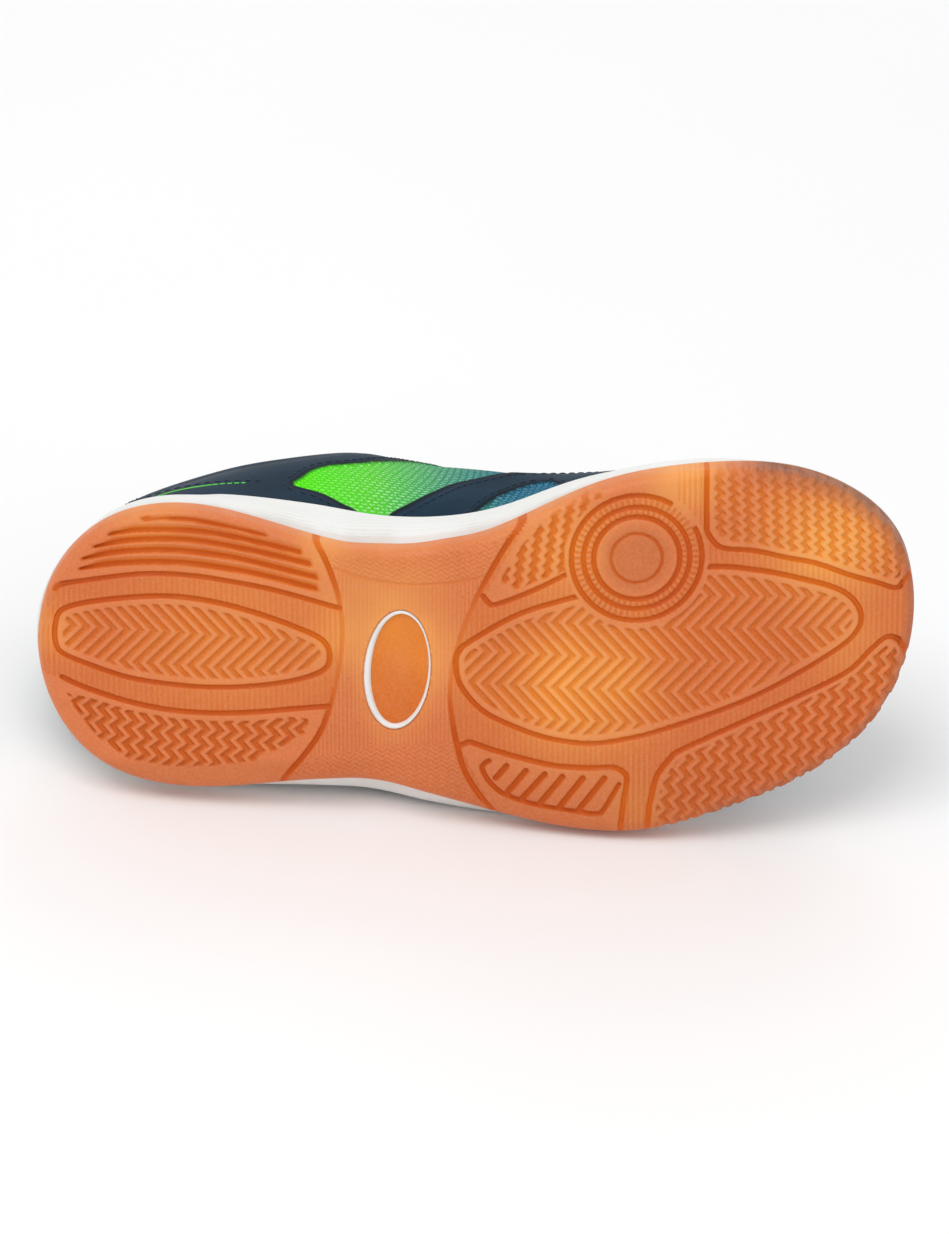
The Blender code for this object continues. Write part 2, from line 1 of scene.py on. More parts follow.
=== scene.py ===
"""Looks of a child's low indoor sports shoe for the left foot, lying on its lateral side.

Sizes are millimetres in the shoe's own frame, as in the part's source: X from heel to toe, Y towards the
lateral side, Z up from the ground that the sole would stand on. to_row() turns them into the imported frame.
"""

import math
from collections import namedtuple

import bpy
import numpy as np
from mathutils import Matrix, Vector


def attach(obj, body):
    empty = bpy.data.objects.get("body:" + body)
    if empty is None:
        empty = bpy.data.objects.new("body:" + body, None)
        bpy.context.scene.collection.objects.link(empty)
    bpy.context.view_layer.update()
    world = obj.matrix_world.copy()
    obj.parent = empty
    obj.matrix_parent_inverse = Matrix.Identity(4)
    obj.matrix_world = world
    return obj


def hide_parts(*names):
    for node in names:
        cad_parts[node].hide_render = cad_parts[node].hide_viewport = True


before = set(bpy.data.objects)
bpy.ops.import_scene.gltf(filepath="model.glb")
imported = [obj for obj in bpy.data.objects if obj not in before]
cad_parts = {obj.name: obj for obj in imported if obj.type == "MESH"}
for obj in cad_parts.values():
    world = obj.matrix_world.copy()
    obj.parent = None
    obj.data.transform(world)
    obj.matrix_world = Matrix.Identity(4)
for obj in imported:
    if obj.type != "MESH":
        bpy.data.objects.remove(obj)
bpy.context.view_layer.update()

MM = 0.001
GAP = 0.3

# Sole sizes, as in the part's source
SOLE_LENGTH = 211.0
HEEL_BEVEL_END = 14.0
HEEL_BEVEL_RISE = 2.5
TOE_SPRING_START = 131.0
TOE_SPRING = 13.0
ARCH_START = 72.0
ARCH_END = 101.0
ARCH_RISE = 2.6
EDGE_ROUND = 2.6
PLATE = 4.2
RIM_WALL = 1.8

# Upper, insole, tongue and lace sizes, as in the part's source
WALL = 2.2
COLLAR_WALL = 5.0
INSOLE_THICKNESS = 3.2
TONGUE_THICKNESS = 3.6
TONGUE_TOP_RUN = 13.0
TONGUE_TOP_RISE = 12.5
LACE_WIDTH = 5.4
LACE_THICKNESS = 1.3
EYELET_REACH = 0.80
EYELET_ROWS = (6.25, 6.8, 7.35, 7.95, 8.6)

# Rest pose, as in the part's source
REST_YAW = -5.10
REST_ROLL = -103.27
REST_SHIFT = (-104.354, -42.068, 36.333)

# The photograph: its size in pixels, and how the camera stands to the shoe
PHOTO_WIDTH = 949
PHOTO_HEIGHT = 1234
CAMERA_TILT = 18.0
CAMERA_DISTANCE = 1700.0
CAMERA_TARGET = (105.0, 0.0, 0.0)
TARGET_PIXEL = (475.0, 649.0)
PIXELS_PER_MM = 4.176
SENSOR = 36.0

SoleRow = namedtuple("SoleRow", "name edge_x edge_y flare rim")
SOLE_ROWS = [
    SoleRow("heel_back", 0.0, -0.3, 1.0, 7.0),
    SoleRow("medial_heel_round", 6.0, -20.6, 1.0, 7.0),
    SoleRow("medial_heel_side", 16.0, -30.4, 0.8, 7.0),
    SoleRow("medial_heel_wide", 31.0, -34.7, 0.4, 6.8),
    SoleRow("medial_heel_front", 58.7, -29.4, 1.8, 6.4),
    SoleRow("medial_waist", 87.4, -23.6, 3.4, 6.2),
    SoleRow("medial_ball_back", 113.0, -30.2, 1.6, 6.4),
    SoleRow("medial_ball", 135.3, -40.2, 0.4, 6.8),
    SoleRow("medial_ball_front", 159.0, -44.0, 0.3, 7.4),
    SoleRow("medial_toe_wide", 179.0, -42.6, 0.2, 8.2),
    SoleRow("medial_toe_side", 195.5, -35.4, 0.0, 9.0),
    SoleRow("medial_toe_corner", 207.2, -23.0, 0.0, 9.6),
    SoleRow("toe_tip", 211.0, -6.0, 0.0, 9.8),
    SoleRow("lateral_toe_corner", 202.6, 20.6, 0.0, 9.4),
    SoleRow("lateral_toe_side", 187.0, 33.6, 0.0, 8.8),
    SoleRow("lateral_toe_wide", 166.5, 41.8, 0.1, 8.0),
    SoleRow("lateral_ball_front", 146.0, 46.8, 0.3, 7.4),
    SoleRow("lateral_ball", 126.0, 45.8, 0.6, 6.8),
    SoleRow("lateral_ball_back", 103.0, 40.0, 3.9, 6.4),
    SoleRow("lateral_waist", 74.0, 33.8, 5.0, 6.2),
    SoleRow("lateral_heel_front", 58.7, 34.4, 3.8, 6.4),
    SoleRow("lateral_heel_wide", 37.0, 35.6, 1.4, 6.8),
    SoleRow("lateral_heel_side", 16.0, 29.8, 0.8, 7.0),
    SoleRow("lateral_heel_round", 6.0, 19.8, 1.0, 7.0),
]

# Rows of the upper, as in the part's source apart from the collar, drawn in at the first four
RibRow = namedtuple("RibRow", "name inset out up top_x top_y top_z reach drop")
RIB_ROWS = [
    RibRow("heel_back", 3.6, 2.6, 20.0, 8.5, 1.2, 73.0, 1.5, 18.0),
    RibRow("medial_heel_round", 4.2, 1.8, 20.0, 12.1, -7.4, 72.5, 1.4, 17.0),
    RibRow("medial_heel_side", 5.0, 0.9, 19.0, 19.0, -14.7, 70.0, 1.2, 16.0),
    RibRow("medial_heel_wide", 5.0, 1.0, 17.0, 35.0, -23.1, 62.0, 2.6, 13.0),
    RibRow("medial_heel_front", 0.4, 4.5, 15.0, 55.0, -27.8, 59.0, 7.4, 12.0),
    RibRow("medial_waist", -2.4, 7.5, 15.0, 75.0, -24.0, 69.0, 14.5, 13.0),
    RibRow("medial_ball_back", 1.0, 5.5, 15.0, 88.0, -15.0, 77.5, 18.0, 11.0),
    RibRow("medial_ball", 3.6, 0.8, 13.0, 108.0, -13.2, 68.0, 12.0, 8.0),
    RibRow("medial_ball_front", 4.6, 1.2, 13.0, 122.0, -12.0, 59.5, 13.0, 6.0),
    RibRow("medial_toe_wide", 5.0, 1.6, 14.0, 130.0, -9.8, 55.0, 19.0, 5.0),
    RibRow("medial_toe_side", 5.4, 1.8, 15.0, 134.0, -7.4, 53.0, 27.0, 3.6),
    RibRow("medial_toe_corner", 5.6, 1.9, 16.0, 135.6, -5.2, 52.4, 33.0, 2.8),
    RibRow("toe_tip", 5.6, 2.0, 16.0, 136.0, -3.2, 52.2, 35.0, 2.6),
    RibRow("lateral_toe_corner", 5.6, 1.9, 15.0, 135.6, -1.2, 52.2, 32.0, 3.0),
    RibRow("lateral_toe_side", 5.4, 1.8, 13.0, 134.0, 1.2, 52.8, 26.0, 4.4),
    RibRow("lateral_toe_wide", 5.0, 1.6, 12.0, 130.0, 3.8, 54.6, 20.0, 6.5),
    RibRow("lateral_ball_front", 4.6, 1.6, 12.0, 122.0, 6.4, 59.0, 15.0, 8.0),
    RibRow("lateral_ball", 4.4, 1.8, 13.0, 108.0, 8.8, 67.5, 14.0, 9.0),
    RibRow("lateral_ball_back", 3.6, 2.4, 14.0, 88.0, 12.4, 77.0, 14.0, 11.0),
    RibRow("lateral_waist", 0.8, 3.0, 15.0, 75.0, 21.5, 68.0, 9.0, 13.0),
    RibRow("lateral_heel_front", 1.6, 2.4, 15.0, 55.0, 26.5, 57.5, 5.0, 12.0),
    RibRow("lateral_heel_wide", 4.0, 1.8, 17.0, 35.0, 25.5, 61.0, 3.0, 13.0),
    RibRow("lateral_heel_side", 3.6, 2.0, 19.0, 18.5, 19.5, 69.5, 2.0, 16.0),
    RibRow("lateral_heel_round", 3.6, 2.2, 20.0, 11.0, 11.5, 72.5, 1.8, 17.0),
]
MIDSOLE_TOP = [(-2.0, 23.4), (40.0, 22.4), (87.0, 20.4), (113.0, 17.6), (137.0, 16.2), (165.0, 17.6),
               (190.0, 21.6), (212.0, 25.2)]
ROWS_ROUND = len(SOLE_ROWS)
HALF = ROWS_ROUND // 2

# Groove lines of the tread, in the order heel to toe
HEEL_LEAF = [(4.5, -5.6), (6.0, -9.4), (11.5, -11.5), (21.6, -12.8), (31.7, -13.2), (41.8, -11.9),
             (51.9, -9.2), (61.9, -5.5), (68.5, -2.1), (70.2, 2.0), (68.6, 5.5), (61.9, 8.0), (51.9, 9.5),
             (41.8, 9.8), (31.7, 9.0), (21.6, 7.2), (11.5, 3.6), (6.0, 1.2), (4.5, -1.4)]
HEEL_MEDIAL = [(4.6, -14.8), (6.9, -16.2), (16.5, -17.8), (26.7, -18.8), (36.7, -18.4), (46.8, -16.8),
               (56.9, -14.7), (67.0, -11.8), (72.6, -10.1)]
HEEL_LATERAL = [(6.0, 7.4), (11.5, 9.8), (21.6, 13.3), (31.7, 15.5), (41.8, 16.3), (51.9, 16.1),
                (61.9, 15.2), (69.8, 14.6)]
HEEL_ARC = [(63.6, -34.0), (65.6, -29.3), (68.0, -25.1), (70.5, -19.2), (72.4, -12.8), (73.2, -5.5),
            (72.9, 1.4), (71.5, 9.3), (69.3, 17.4), (66.9, 22.7), (63.1, 28.0), (59.6, 32.2), (57.0, 37.0)]
FORE_ARC = [(121.5, -40.0), (119.2, -36.2), (116.0, -31.3), (111.9, -25.0), (108.6, -19.0), (105.5, -13.0),
            (102.9, -6.9), (101.0, -0.9), (99.6, 5.0), (99.0, 12.3), (99.7, 19.1), (100.8, 25.0),
            (102.6, 31.2), (105.6, 36.5), (109.0, 41.0), (112.0, 45.0)]
FORE_LEAF = [(100.4, 4.0), (101.2, 0.6), (104.4, -2.2), (115.7, -8.7), (129.1, -13.0), (144.0, -17.5),
             (160.4, -19.9), (171.7, -18.8), (183.0, -15.9), (192.8, -12.2), (197.4, -7.2), (197.1, -1.9),
             (190.6, 3.6), (171.7, 13.5), (150.6, 20.7), (141.9, 22.9), (132.1, 24.1), (121.1, 22.3),
             (110.4, 17.9), (105.3, 14.3), (101.4, 9.0)]
MEDIAL_REAR = [(106.9, -13.2), (108.2, -11.6), (110.3, -11.1), (119.0, -14.6), (128.0, -19.2)]
MEDIAL_TOE = [(160.2, -50.0), (160.2, -31.5), (160.9, -27.8), (164.0, -24.6), (171.7, -23.5),
              (179.6, -21.3), (186.8, -19.4), (194.8, -15.9), (201.6, -13.4), (206.2, -11.6),
              (208.2, -13.2), (210.5, -16.0)]
LATERAL_TOE = [(146.4, 50.0), (146.9, 41.3), (147.6, 37.4), (148.9, 32.4), (152.0, 28.1), (154.3, 26.3),
               (164.3, 21.8), (179.4, 15.4), (194.2, 8.9), (200.2, 3.6), (204.2, 0.6), (207.4, 1.9),
               (209.8, 6.5)]
LATERAL_REAR = [(101.4, 24.6), (103.6, 23.7), (105.0, 24.1), (110.0, 25.9), (117.4, 28.1), (124.8, 29.8),
                (132.1, 30.3), (138.0, 30.2), (139.9, 30.8), (141.2, 31.9), (141.6, 33.3), (141.4, 35.5),
                (140.8, 39.4), (139.6, 50.0)]

# Where each pad lies, closed far outside the sole
HEEL_MEDIAL_PAD = HEEL_MEDIAL + [(72.0, -60.0), (-10.0, -60.0), (-10.0, -12.0)]
HEEL_LATERAL_PAD = HEEL_LATERAL + [(60.0, 60.0), (-10.0, 60.0), (-10.0, 4.0)]
MEDIAL_REAR_PAD = MEDIAL_REAR + [(144.4, -22.5), (153.5, -36.0), (153.5, -60.0), (126.0, -60.0),
                                 (119.5, -34.8),
                                 (112.8, -23.7)]
MEDIAL_TOE_PAD = MEDIAL_TOE + [(225.0, -18.0), (225.0, -60.0), (160.7, -60.0)]
LATERAL_TOE_PAD = LATERAL_TOE + [(225.0, 10.0), (225.0, 60.0), (146.6, 60.0)]
LATERAL_REAR_PAD = LATERAL_REAR + [(140.0, 60.0), (113.0, 60.0), (107.5, 37.8), (103.4, 29.7)]

# Fields of pattern that don't simply follow the outline of their pad
HEEL_LATERAL_FIELD = [(7.0, 11.4), (12.0, 12.2), (21.6, 15.4), (31.7, 17.5), (41.8, 18.3), (51.9, 18.2),
                      (61.9, 17.2), (65.0, 17.8), (65.0, 20.9), (59.4, 24.6), (51.9, 28.6), (41.8, 29.9),
                      (31.7, 30.0), (21.6, 28.1), (14.1, 22.3), (8.6, 14.7)]
MEDIAL_REAR_FIELD = [(111.0, -17.2), (114.0, -14.4), (127.0, -19.4), (126.4, -25.6), (128.8, -31.3),
                     (135.8, -38.8), (131.4, -39.0), (122.4, -33.2), (115.4, -25.0)]
TERRACES = [
    [(25.1, -32.5), (32.0, -32.5), (38.0, -32.0), (46.0, -30.5), (56.0, -28.0)],
    [(17.3, -28.6), (24.0, -29.4), (31.0, -29.5), (38.0, -29.2), (46.0, -28.0), (54.0, -26.2), (64.2, -23.6)],
    [(13.8, -25.5), (22.0, -26.8), (30.0, -27.2), (38.0, -26.8), (46.0, -25.5), (54.0, -23.8), (66.5, -20.7)],
    [(11.0, -22.5), (20.0, -24.0), (30.0, -24.5), (38.0, -24.0), (46.0, -22.8), (54.0, -21.0), (68.0, -17.3)],
    [(10.3, -20.0), (20.0, -21.2), (30.0, -21.5), (38.0, -21.0), (46.0, -19.8), (54.0, -18.2), (68.0, -14.5)],
]
COMB_LINE = [(108.4, 28.4), (106.7, 30.0), (107.8, 32.8), (109.7, 35.1), (112.6, 37.2), (119.6, 39.6),
             (129.9, 41.5), (134.4, 42.0), (136.0, 41.0), (139.7, 34.5)]
COMB_TOPS = [(112.6, 29.8), (117.3, 31.0), (121.8, 31.9), (126.1, 32.5), (131.0, 32.9), (136.2, 32.9)]
COMB_FEET = [(110.0, 32.9), (113.0, 36.3), (116.3, 38.2), (120.7, 39.3), (125.4, 40.2), (130.1, 40.9)]
ARCH_LINE = [(71.4, -20.1), (80.0, -16.6), (89.1, -15.1), (98.0, -15.6), (106.8, -18.1)]

# Pivot disc: centre, and the radius of each groove
DISC = (143.6, -22.6)
DISC_GROOVES = (15.6, 12.7, 10.3)
DISC_RING = 6.1
DISC_TICKS = (62, 52)
DISC_BREAK = (-56.0, -30.0)

# Oval in the arch: centre, half sizes to the outside of the ring, lean
OVAL = (86.3, 6.2)
OVAL_HALF = (8.1, 15.0)
OVAL_LEAN = math.radians(4.5)
OVAL_BAND = 1.6

# Depths and widths of the tread
GROOVE_DEPTH = 0.8
GROOVE_HALF = 0.8
CHEVRON_DEPTH = 0.8
RIM_WIDTH = 2.1
RIB_PITCH = 1.3
ARCH_RIB_PITCH = 0.975

# Zigzag ridges of the pads. Along the shoe they lean and bow, across it they start, tilt and sweep, and bow
# and sweep grow away from the centre. Each valley between two ridges has a crest, a foot and a depth.
Zigzag = namedtuple("Zigzag", "lean bow start tilt sweep centre pitch half_wave slope first crest foot depth")
ZIGZAGS = {
    "heel_leaf": Zigzag(0.0, 0.0, -6.4, 0.07, 0.0, 0.0, 3.23, 8.15, 0.95, 0.85, 0.3, 0.95, CHEVRON_DEPTH),
    "fore_leaf": Zigzag(0.0, 0.0, -5.205, 0.055, 0.0, 0.0, 3.36, 8.15, 0.93, 2.35, 0.3, 0.95, CHEVRON_DEPTH),
    "heel_lateral": Zigzag(0.12, 0.0, 3.65, 0.114, 0.001, 38.0, 3.43, 2.04, 1.06, 0.16, 0.32, 0.85, 0.9),
    "medial_rear": Zigzag(0.13, 0.0, 0.74, 0.041, 0.0, 0.0, 3.34, 1.26, 0.73, 1.6, 0.42, 1.0, 0.85),
    "medial_toe": Zigzag(-0.043, 0.001, 1.1, 0.124, 0.0, 170.0, 3.41, 1.24, 1.01, 0.245, 0.36, 0.95, 0.8),
    "lateral_toe": Zigzag(0.114, 0.0, 0.22, 0.1, 0.0, 0.0, 3.37, 2.14, 0.9, 0.23, 0.36, 0.95, 0.85),
}

# Painted light: spots where the gum is painted lighter and more amber, as if lit through where it is thin:
# place, size and amount
GLOW_SPOTS = ((130.5, 10.0, 17.0, 0.9), (190.0, -26.0, 15.0, 1.0), (155.0, -42.0, 9.0, 0.8),
              (84.0, -8.0, 15.0, 0.5), (98.0, 4.0, 8.0, 0.25), (68.5, -26.0, 6.0, 0.5),
              (126.0, -26.0, 13.0, 0.5), (45.0, -2.0, 22.0, 0.3), (144.0, 40.0, 7.0, 0.4),
              (71.0, -3.0, 7.0, 0.35), (196.0, 2.0, 9.0, 0.35), (28.0, -33.0, 9.0, 0.35),
              (3.0, -4.0, 7.0, 0.4))

# How finely the tread is divided
ROW_STEP = RIB_PITCH / 4
ROUND_END = 8.0
ROUND_RADIUS = 30.0
ROUND_ROWS = 48
TREAD_COLUMNS = 236
EDGE_STEPS = 6
WALL_STEPS = 4

# How finely the other pieces are divided
MIDSOLE_COLUMNS = 480
MIDSOLE_ROWS = 56
MIDSOLE_LINES = 9
UPPER_COLUMNS = 760
UPPER_ROWS = 112
SHELL_TOP = 0.965
LINING_COLUMNS = 420
LINING_ROWS = 46
TONGUE_ROWS = 90
TONGUE_COLUMNS = 48
LACE_STEPS = 44
LACE_RING = 16

# Panels of the upper, as row numbers and shares of the wall
OVERLAY = 0.8
KNIT_WINDOWS = (
    [(4.08, 0.24), (4.16, 0.34), (4.28, 0.44), (4.46, 0.49), (4.76, 0.49), (5.2, 0.51), (5.9, 0.60),
     (6.4, 0.66),
     (7.0, 0.68), (7.7, 0.68), (8.3, 0.65), (8.6, 0.58), (8.3, 0.50), (7.6, 0.44), (7.1, 0.39), (6.64, 0.36),
     (6.42, 0.355), (6.0, 0.31), (5.7, 0.275), (5.38, 0.205), (5.1, 0.125), (4.88, 0.03), (4.86, -0.1),
     (4.64, -0.1), (4.62, 0.03), (4.46, 0.10), (4.30, 0.17)],
    [(5.64, -0.1), (5.72, 0.03), (5.92, 0.115), (6.10, 0.155), (6.38, 0.20), (6.56, 0.205), (6.58, 0.15),
     (6.54, 0.08), (6.5, -0.1)],
    [(9.5, 0.52), (10.2, 0.46), (11.0, 0.43), (12.6, 0.42), (12.6, 0.84), (11.0, 0.83), (10.0, 0.80),
     (9.4, 0.70)],
)
HEEL_COUNTER = [(-1.0, -0.2), (-1.0, 0.66), (0.0, 0.66), (1.0, 0.62), (1.8, 0.50), (2.3, 0.32), (2.5, 0.1),
                (2.55, -0.2)]
EYESTAY = [(5.7, 1.2), (5.75, 0.86), (6.4, 0.80), (7.4, 0.77), (8.4, 0.765), (9.2, 0.79), (10.2, 0.83),
           (11.2, 0.85), (12.5, 0.855), (12.5, 1.2)]
TOE_CAP = [(9.2, -0.2), (9.3, 0.1), (9.8, 0.24), (10.6, 0.31), (12.5, 0.34), (13.0, 0.34), (13.0, -0.2)]
ACCENT_LINE = [(2.2, 0.08), (2.5, 0.14), (2.75, 0.18), (3.05, 0.22), (3.30, 0.24), (3.5, 0.245),
               (3.65, 0.245)]
HEEL_SEAM = [(1.9, 0.17), (2.3, 0.24), (2.7, 0.28), (3.1, 0.30), (3.5, 0.30), (3.85, 0.27)]

# Walking creases of the vamp: row number, low and high share, slant, width in rows, depth
CREASES = (
    (7.6, 0.45, 0.72, 0.5, 0.10, 0.55),
    (8.15, 0.40, 0.72, 0.6, 0.12, 0.5),
    (8.7, 0.48, 0.70, 0.5, 0.10, 0.35),
)

# Thread
STITCH_PITCH = 2.5
STITCH_LENGTH = 1.75
STITCH_WIDTH = 0.5
STITCH_LINES = (
    (KNIT_WINDOWS[0], 2.3, True),
    (KNIT_WINDOWS[1], 2.2, True),
    (KNIT_WINDOWS[2], 2.3, True),
    (HEEL_COUNTER, -1.5, True),
    (EYESTAY, -1.5, True),
    (TOE_CAP, -1.5, True),
    (HEEL_SEAM, 0.0, False),
)
EYELET_SIDES = (0.10, 0.90)


def unit(vectors):
    """Vectors at a length of 1."""
    return vectors / np.maximum(np.linalg.norm(vectors, axis=-1, keepdims=True), 1e-9)


def run_lengths(points):
    """How far along a line of points each of them is."""
    return np.concatenate(([0.0], np.cumsum(np.linalg.norm(np.diff(points, axis=0), axis=-1))))


def bezier(start, leave, arrive, end, share):
    """Points at shares of the way along a curve with two aiming points."""
    rest = 1.0 - share
    return (rest ** 3 * start + 3 * rest ** 2 * share * leave
            + 3 * rest * share ** 2 * arrive + share ** 3 * end)


def spline(knots, values):
    """A smooth curve through values at knots, as a function of one place or an array of them."""
    knots = np.array(knots, dtype=float)
    values = np.array(values, dtype=float)
    gaps = np.diff(knots)
    count = len(knots)
    matrix = np.eye(count)
    right = np.zeros_like(values)
    for i in range(1, count - 1):
        matrix[i, i - 1:i + 2] = gaps[i - 1], 2.0 * (gaps[i - 1] + gaps[i]), gaps[i]
        right[i] = 6.0 * ((values[i + 1] - values[i]) / gaps[i] - (values[i] - values[i - 1]) / gaps[i - 1])
    bends = np.linalg.solve(matrix, right.reshape(count, -1)).reshape(values.shape)

    def at(place):
        place = np.asarray(place, dtype=float)
        i = np.clip(np.searchsorted(knots, place) - 1, 0, count - 2)
        spread = place.shape + (1,) * (values.ndim - 1)
        gap = gaps[i].reshape(spread)
        a = (knots[i + 1] - place).reshape(spread) / gap
        b = 1.0 - a
        bend = (a ** 3 - a) * bends[i] + (b ** 3 - b) * bends[i + 1]
        return a * values[i] + b * values[i + 1] + bend * gap ** 2 / 6.0

    return at


def loop_spline(rows):
    """A closed spline through the rows, as a function of the row number."""
    count = len(rows)
    wrap = 5
    numbers = list(range(-wrap, count + wrap + 1))
    lengths = run_lengths([(SOLE_ROWS[n % count].edge_x, SOLE_ROWS[n % count].edge_y) for n in numbers])
    curve = spline(lengths, [rows[n % count][1:] for n in numbers])
    return lambda number: curve(np.interp(np.mod(number, count), numbers, lengths))


sole_at = loop_spline(SOLE_ROWS)
rib_at = loop_spline(RIB_ROWS)
midsole_top_at = spline([row[0] for row in MIDSOLE_TOP], [row[1] for row in MIDSOLE_TOP])


def smoothstep(low, high, value):
    """A share that eases from 0 at the low value to 1 at the high one."""
    share = np.clip((value - low) / (high - low), 0.0, 1.0)
    return share * share * (3.0 - 2.0 * share)


def tread_height(x):
    """Height of the tread above the ground: bevelled at the heel, flat, then sprung up at the toe."""
    bevel = np.clip((HEEL_BEVEL_END - x) / HEEL_BEVEL_END, 0.0, None)
    spring = np.clip((x - TOE_SPRING_START) / (SOLE_LENGTH - TOE_SPRING_START), 0.0, None)
    return HEEL_BEVEL_RISE * bevel ** 2 + TOE_SPRING * spring ** 2


def bottom_height(x, y):
    """The tread with the arch of the waist scooped out of it, deeper towards the medial side."""
    lean = 0.22 * y
    rise = smoothstep(ARCH_START - 2.0, ARCH_START + 11.0, x + 0.3 * lean)
    fall = 1.0 - smoothstep(ARCH_END - 11.0, ARCH_END + 2.0, x + lean)
    return tread_height(x) + ARCH_RISE * rise * fall * (1.0 - 0.010 * y)


def edge_frame(number):
    """The outsole edge at row numbers and the level direction that points outwards there."""
    number = np.asarray(number)
    along = unit(sole_at(number + 0.02)[..., :2] - sole_at(number - 0.02)[..., :2])
    return sole_at(number)[..., :2], np.stack((along[..., 1], -along[..., 0]), axis=-1)


def rib_points(number, share):
    """Points of the upper's outside: share 0 is on the feather edge, 1 is at the collar or throat."""
    number, share = np.broadcast_arrays(np.asarray(number, dtype=float), np.asarray(share, dtype=float))
    inset, out, up, top_x, top_y, top_z, reach, drop = np.moveaxis(rib_at(number), -1, 0)
    edge, outward = edge_frame(number)
    foot_level = edge - outward * inset[..., None]
    foot_height = midsole_top_at(foot_level[..., 0]) + GAP
    foot = np.stack((foot_level[..., 0], foot_level[..., 1], foot_height), axis=-1)
    away = np.concatenate((outward, np.zeros(outward.shape[:-1] + (1,))), axis=-1)
    upright = np.array((0.0, 0.0, 1.0))
    top = np.stack((top_x, top_y, top_z), axis=-1)
    low_aim = foot + away * out[..., None] + upright * up[..., None]
    high_aim = top + away * reach[..., None] - upright * drop[..., None]
    return bezier(foot, low_aim, high_aim, top, share[..., None])


def throat_row(row, under):
    """Points across the instep at a row, from under the medial eyelets to under the lateral ones."""
    medial = rib_points(row, np.linspace(under, 1.0, 9))
    lateral = rib_points(ROWS_ROUND - row, np.linspace(1.0, under, 9))
    start, end = medial[-1], lateral[0]
    handle = 0.36 * np.linalg.norm(end - start)
    leave = start + unit(start - medial[-2]) * handle
    arrive = end + unit(end - lateral[1]) * handle
    bridge = bezier(start, leave, arrive, end, np.linspace(0.0, 1.0, 13)[1:-1, None])
    return np.concatenate((medial, bridge, lateral))


def across(row, under, share):
    """Points of the instep at shares of the way across a row."""
    points = throat_row(row, under)
    lengths = run_lengths(points)
    place = np.asarray(share) * lengths[-1]
    return np.stack([np.interp(place, lengths, points[:, axis]) for axis in range(3)], axis=-1)


def instep(row, under, share, lift):
    """A point a given lift off the instep, square to it."""
    sideways = across(row, under, min(share + 0.03, 1.0)) - across(row, under, max(share - 0.03, 0.0))
    forwards = across(row + 0.1, under, share) - across(row - 0.1, under, share)
    normal = unit(np.cross(forwards, sideways))
    if normal[2] < 0.0:
        normal = -normal
    return across(row, under, share) + normal * lift


def rest_turn():
    """The turn from the shoe's own axes to its rest pose."""
    roll, yaw = math.radians(REST_ROLL), math.radians(REST_YAW)
    return np.array(Matrix.Rotation(roll, 3, "X") @ Matrix.Rotation(yaw, 3, "Z"))


TURN = rest_turn()


def to_row(points):
    """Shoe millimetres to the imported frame's metres."""
    return (np.asarray(points) @ TURN.T + np.array(REST_SHIFT)) * MM


def row_direction(direction):
    """A direction along the shoe's own axes, turned to the rest pose."""
    return Vector(TURN @ np.array(direction))


def make_piece(name, points, faces, material, normals=None, fields=None, weave=None):
    """A mesh object from points in shoe millimetres and faces of three or four corners each.

    What would lie under the floor is pressed flat on it, as soft parts are by the shoe's own weight.
    """
    mesh = bpy.data.meshes.new(name)
    points = np.asarray(points, dtype=float).reshape(-1, 3)
    mesh.vertices.add(len(points))
    places = to_row(points)
    places[:, 2] = np.maximum(places[:, 2], 0.0)
    mesh.vertices.foreach_set("co", places.ravel())
    groups = faces if isinstance(faces, list) else [faces]
    corners = np.concatenate([np.asarray(group).ravel() for group in groups])
    sizes = np.concatenate([np.full(len(group), np.asarray(group).shape[1]) for group in groups])
    mesh.loops.add(len(corners))
    mesh.loops.foreach_set("vertex_index", corners.astype(np.int32))
    mesh.polygons.add(len(sizes))
    mesh.polygons.foreach_set("loop_start", (np.cumsum(sizes) - sizes).astype(np.int32))
    mesh.update(calc_edges=True)
    mesh.shade_smooth()
    for field, values in (fields or {}).items():
        layer = mesh.attributes.new(field, "FLOAT", "POINT")
        layer.data.foreach_set("value", np.asarray(values, dtype=np.float32).ravel())
    if weave is not None:
        layer = mesh.uv_layers.new(name="weave")
        layer.data.foreach_set("uv", np.asarray(weave, dtype=np.float32).reshape(-1, 2)[corners].ravel())
    if normals is not None:
        turned = np.asarray(normals).reshape(-1, 3) @ TURN.T
        mesh.normals_split_custom_set_from_vertices(turned.tolist())
    mesh.materials.append(material)
    piece = bpy.data.objects.new(name, mesh)
    bpy.context.scene.collection.objects.link(piece)
    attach(piece, "root")
    return piece


def grid_faces(rows, columns, closed=False):
    """Four-cornered faces of a grid of points; closed joins the last column to the first."""
    index = np.arange(rows * columns).reshape(rows, columns)
    if closed:
        index = np.concatenate((index, index[:, :1]), axis=1)
    corners = (index[:-1, :-1], index[:-1, 1:], index[1:, 1:], index[1:, :-1])
    return np.stack(corners, axis=-1).reshape(-1, 4)


def zipped_loop(loop):
    """Four-cornered faces that close a loop of point numbers, from its first half across to its second."""
    half = len(loop) // 2
    back = loop[::-1]
    return np.stack((loop[:half - 1], loop[1:half], back[1:half], back[:half - 1]), axis=-1)


def grid_normals(points):
    """Unit normals of a grid of points."""
    return unit(np.cross(np.gradient(points, axis=0), np.gradient(points, axis=1)))


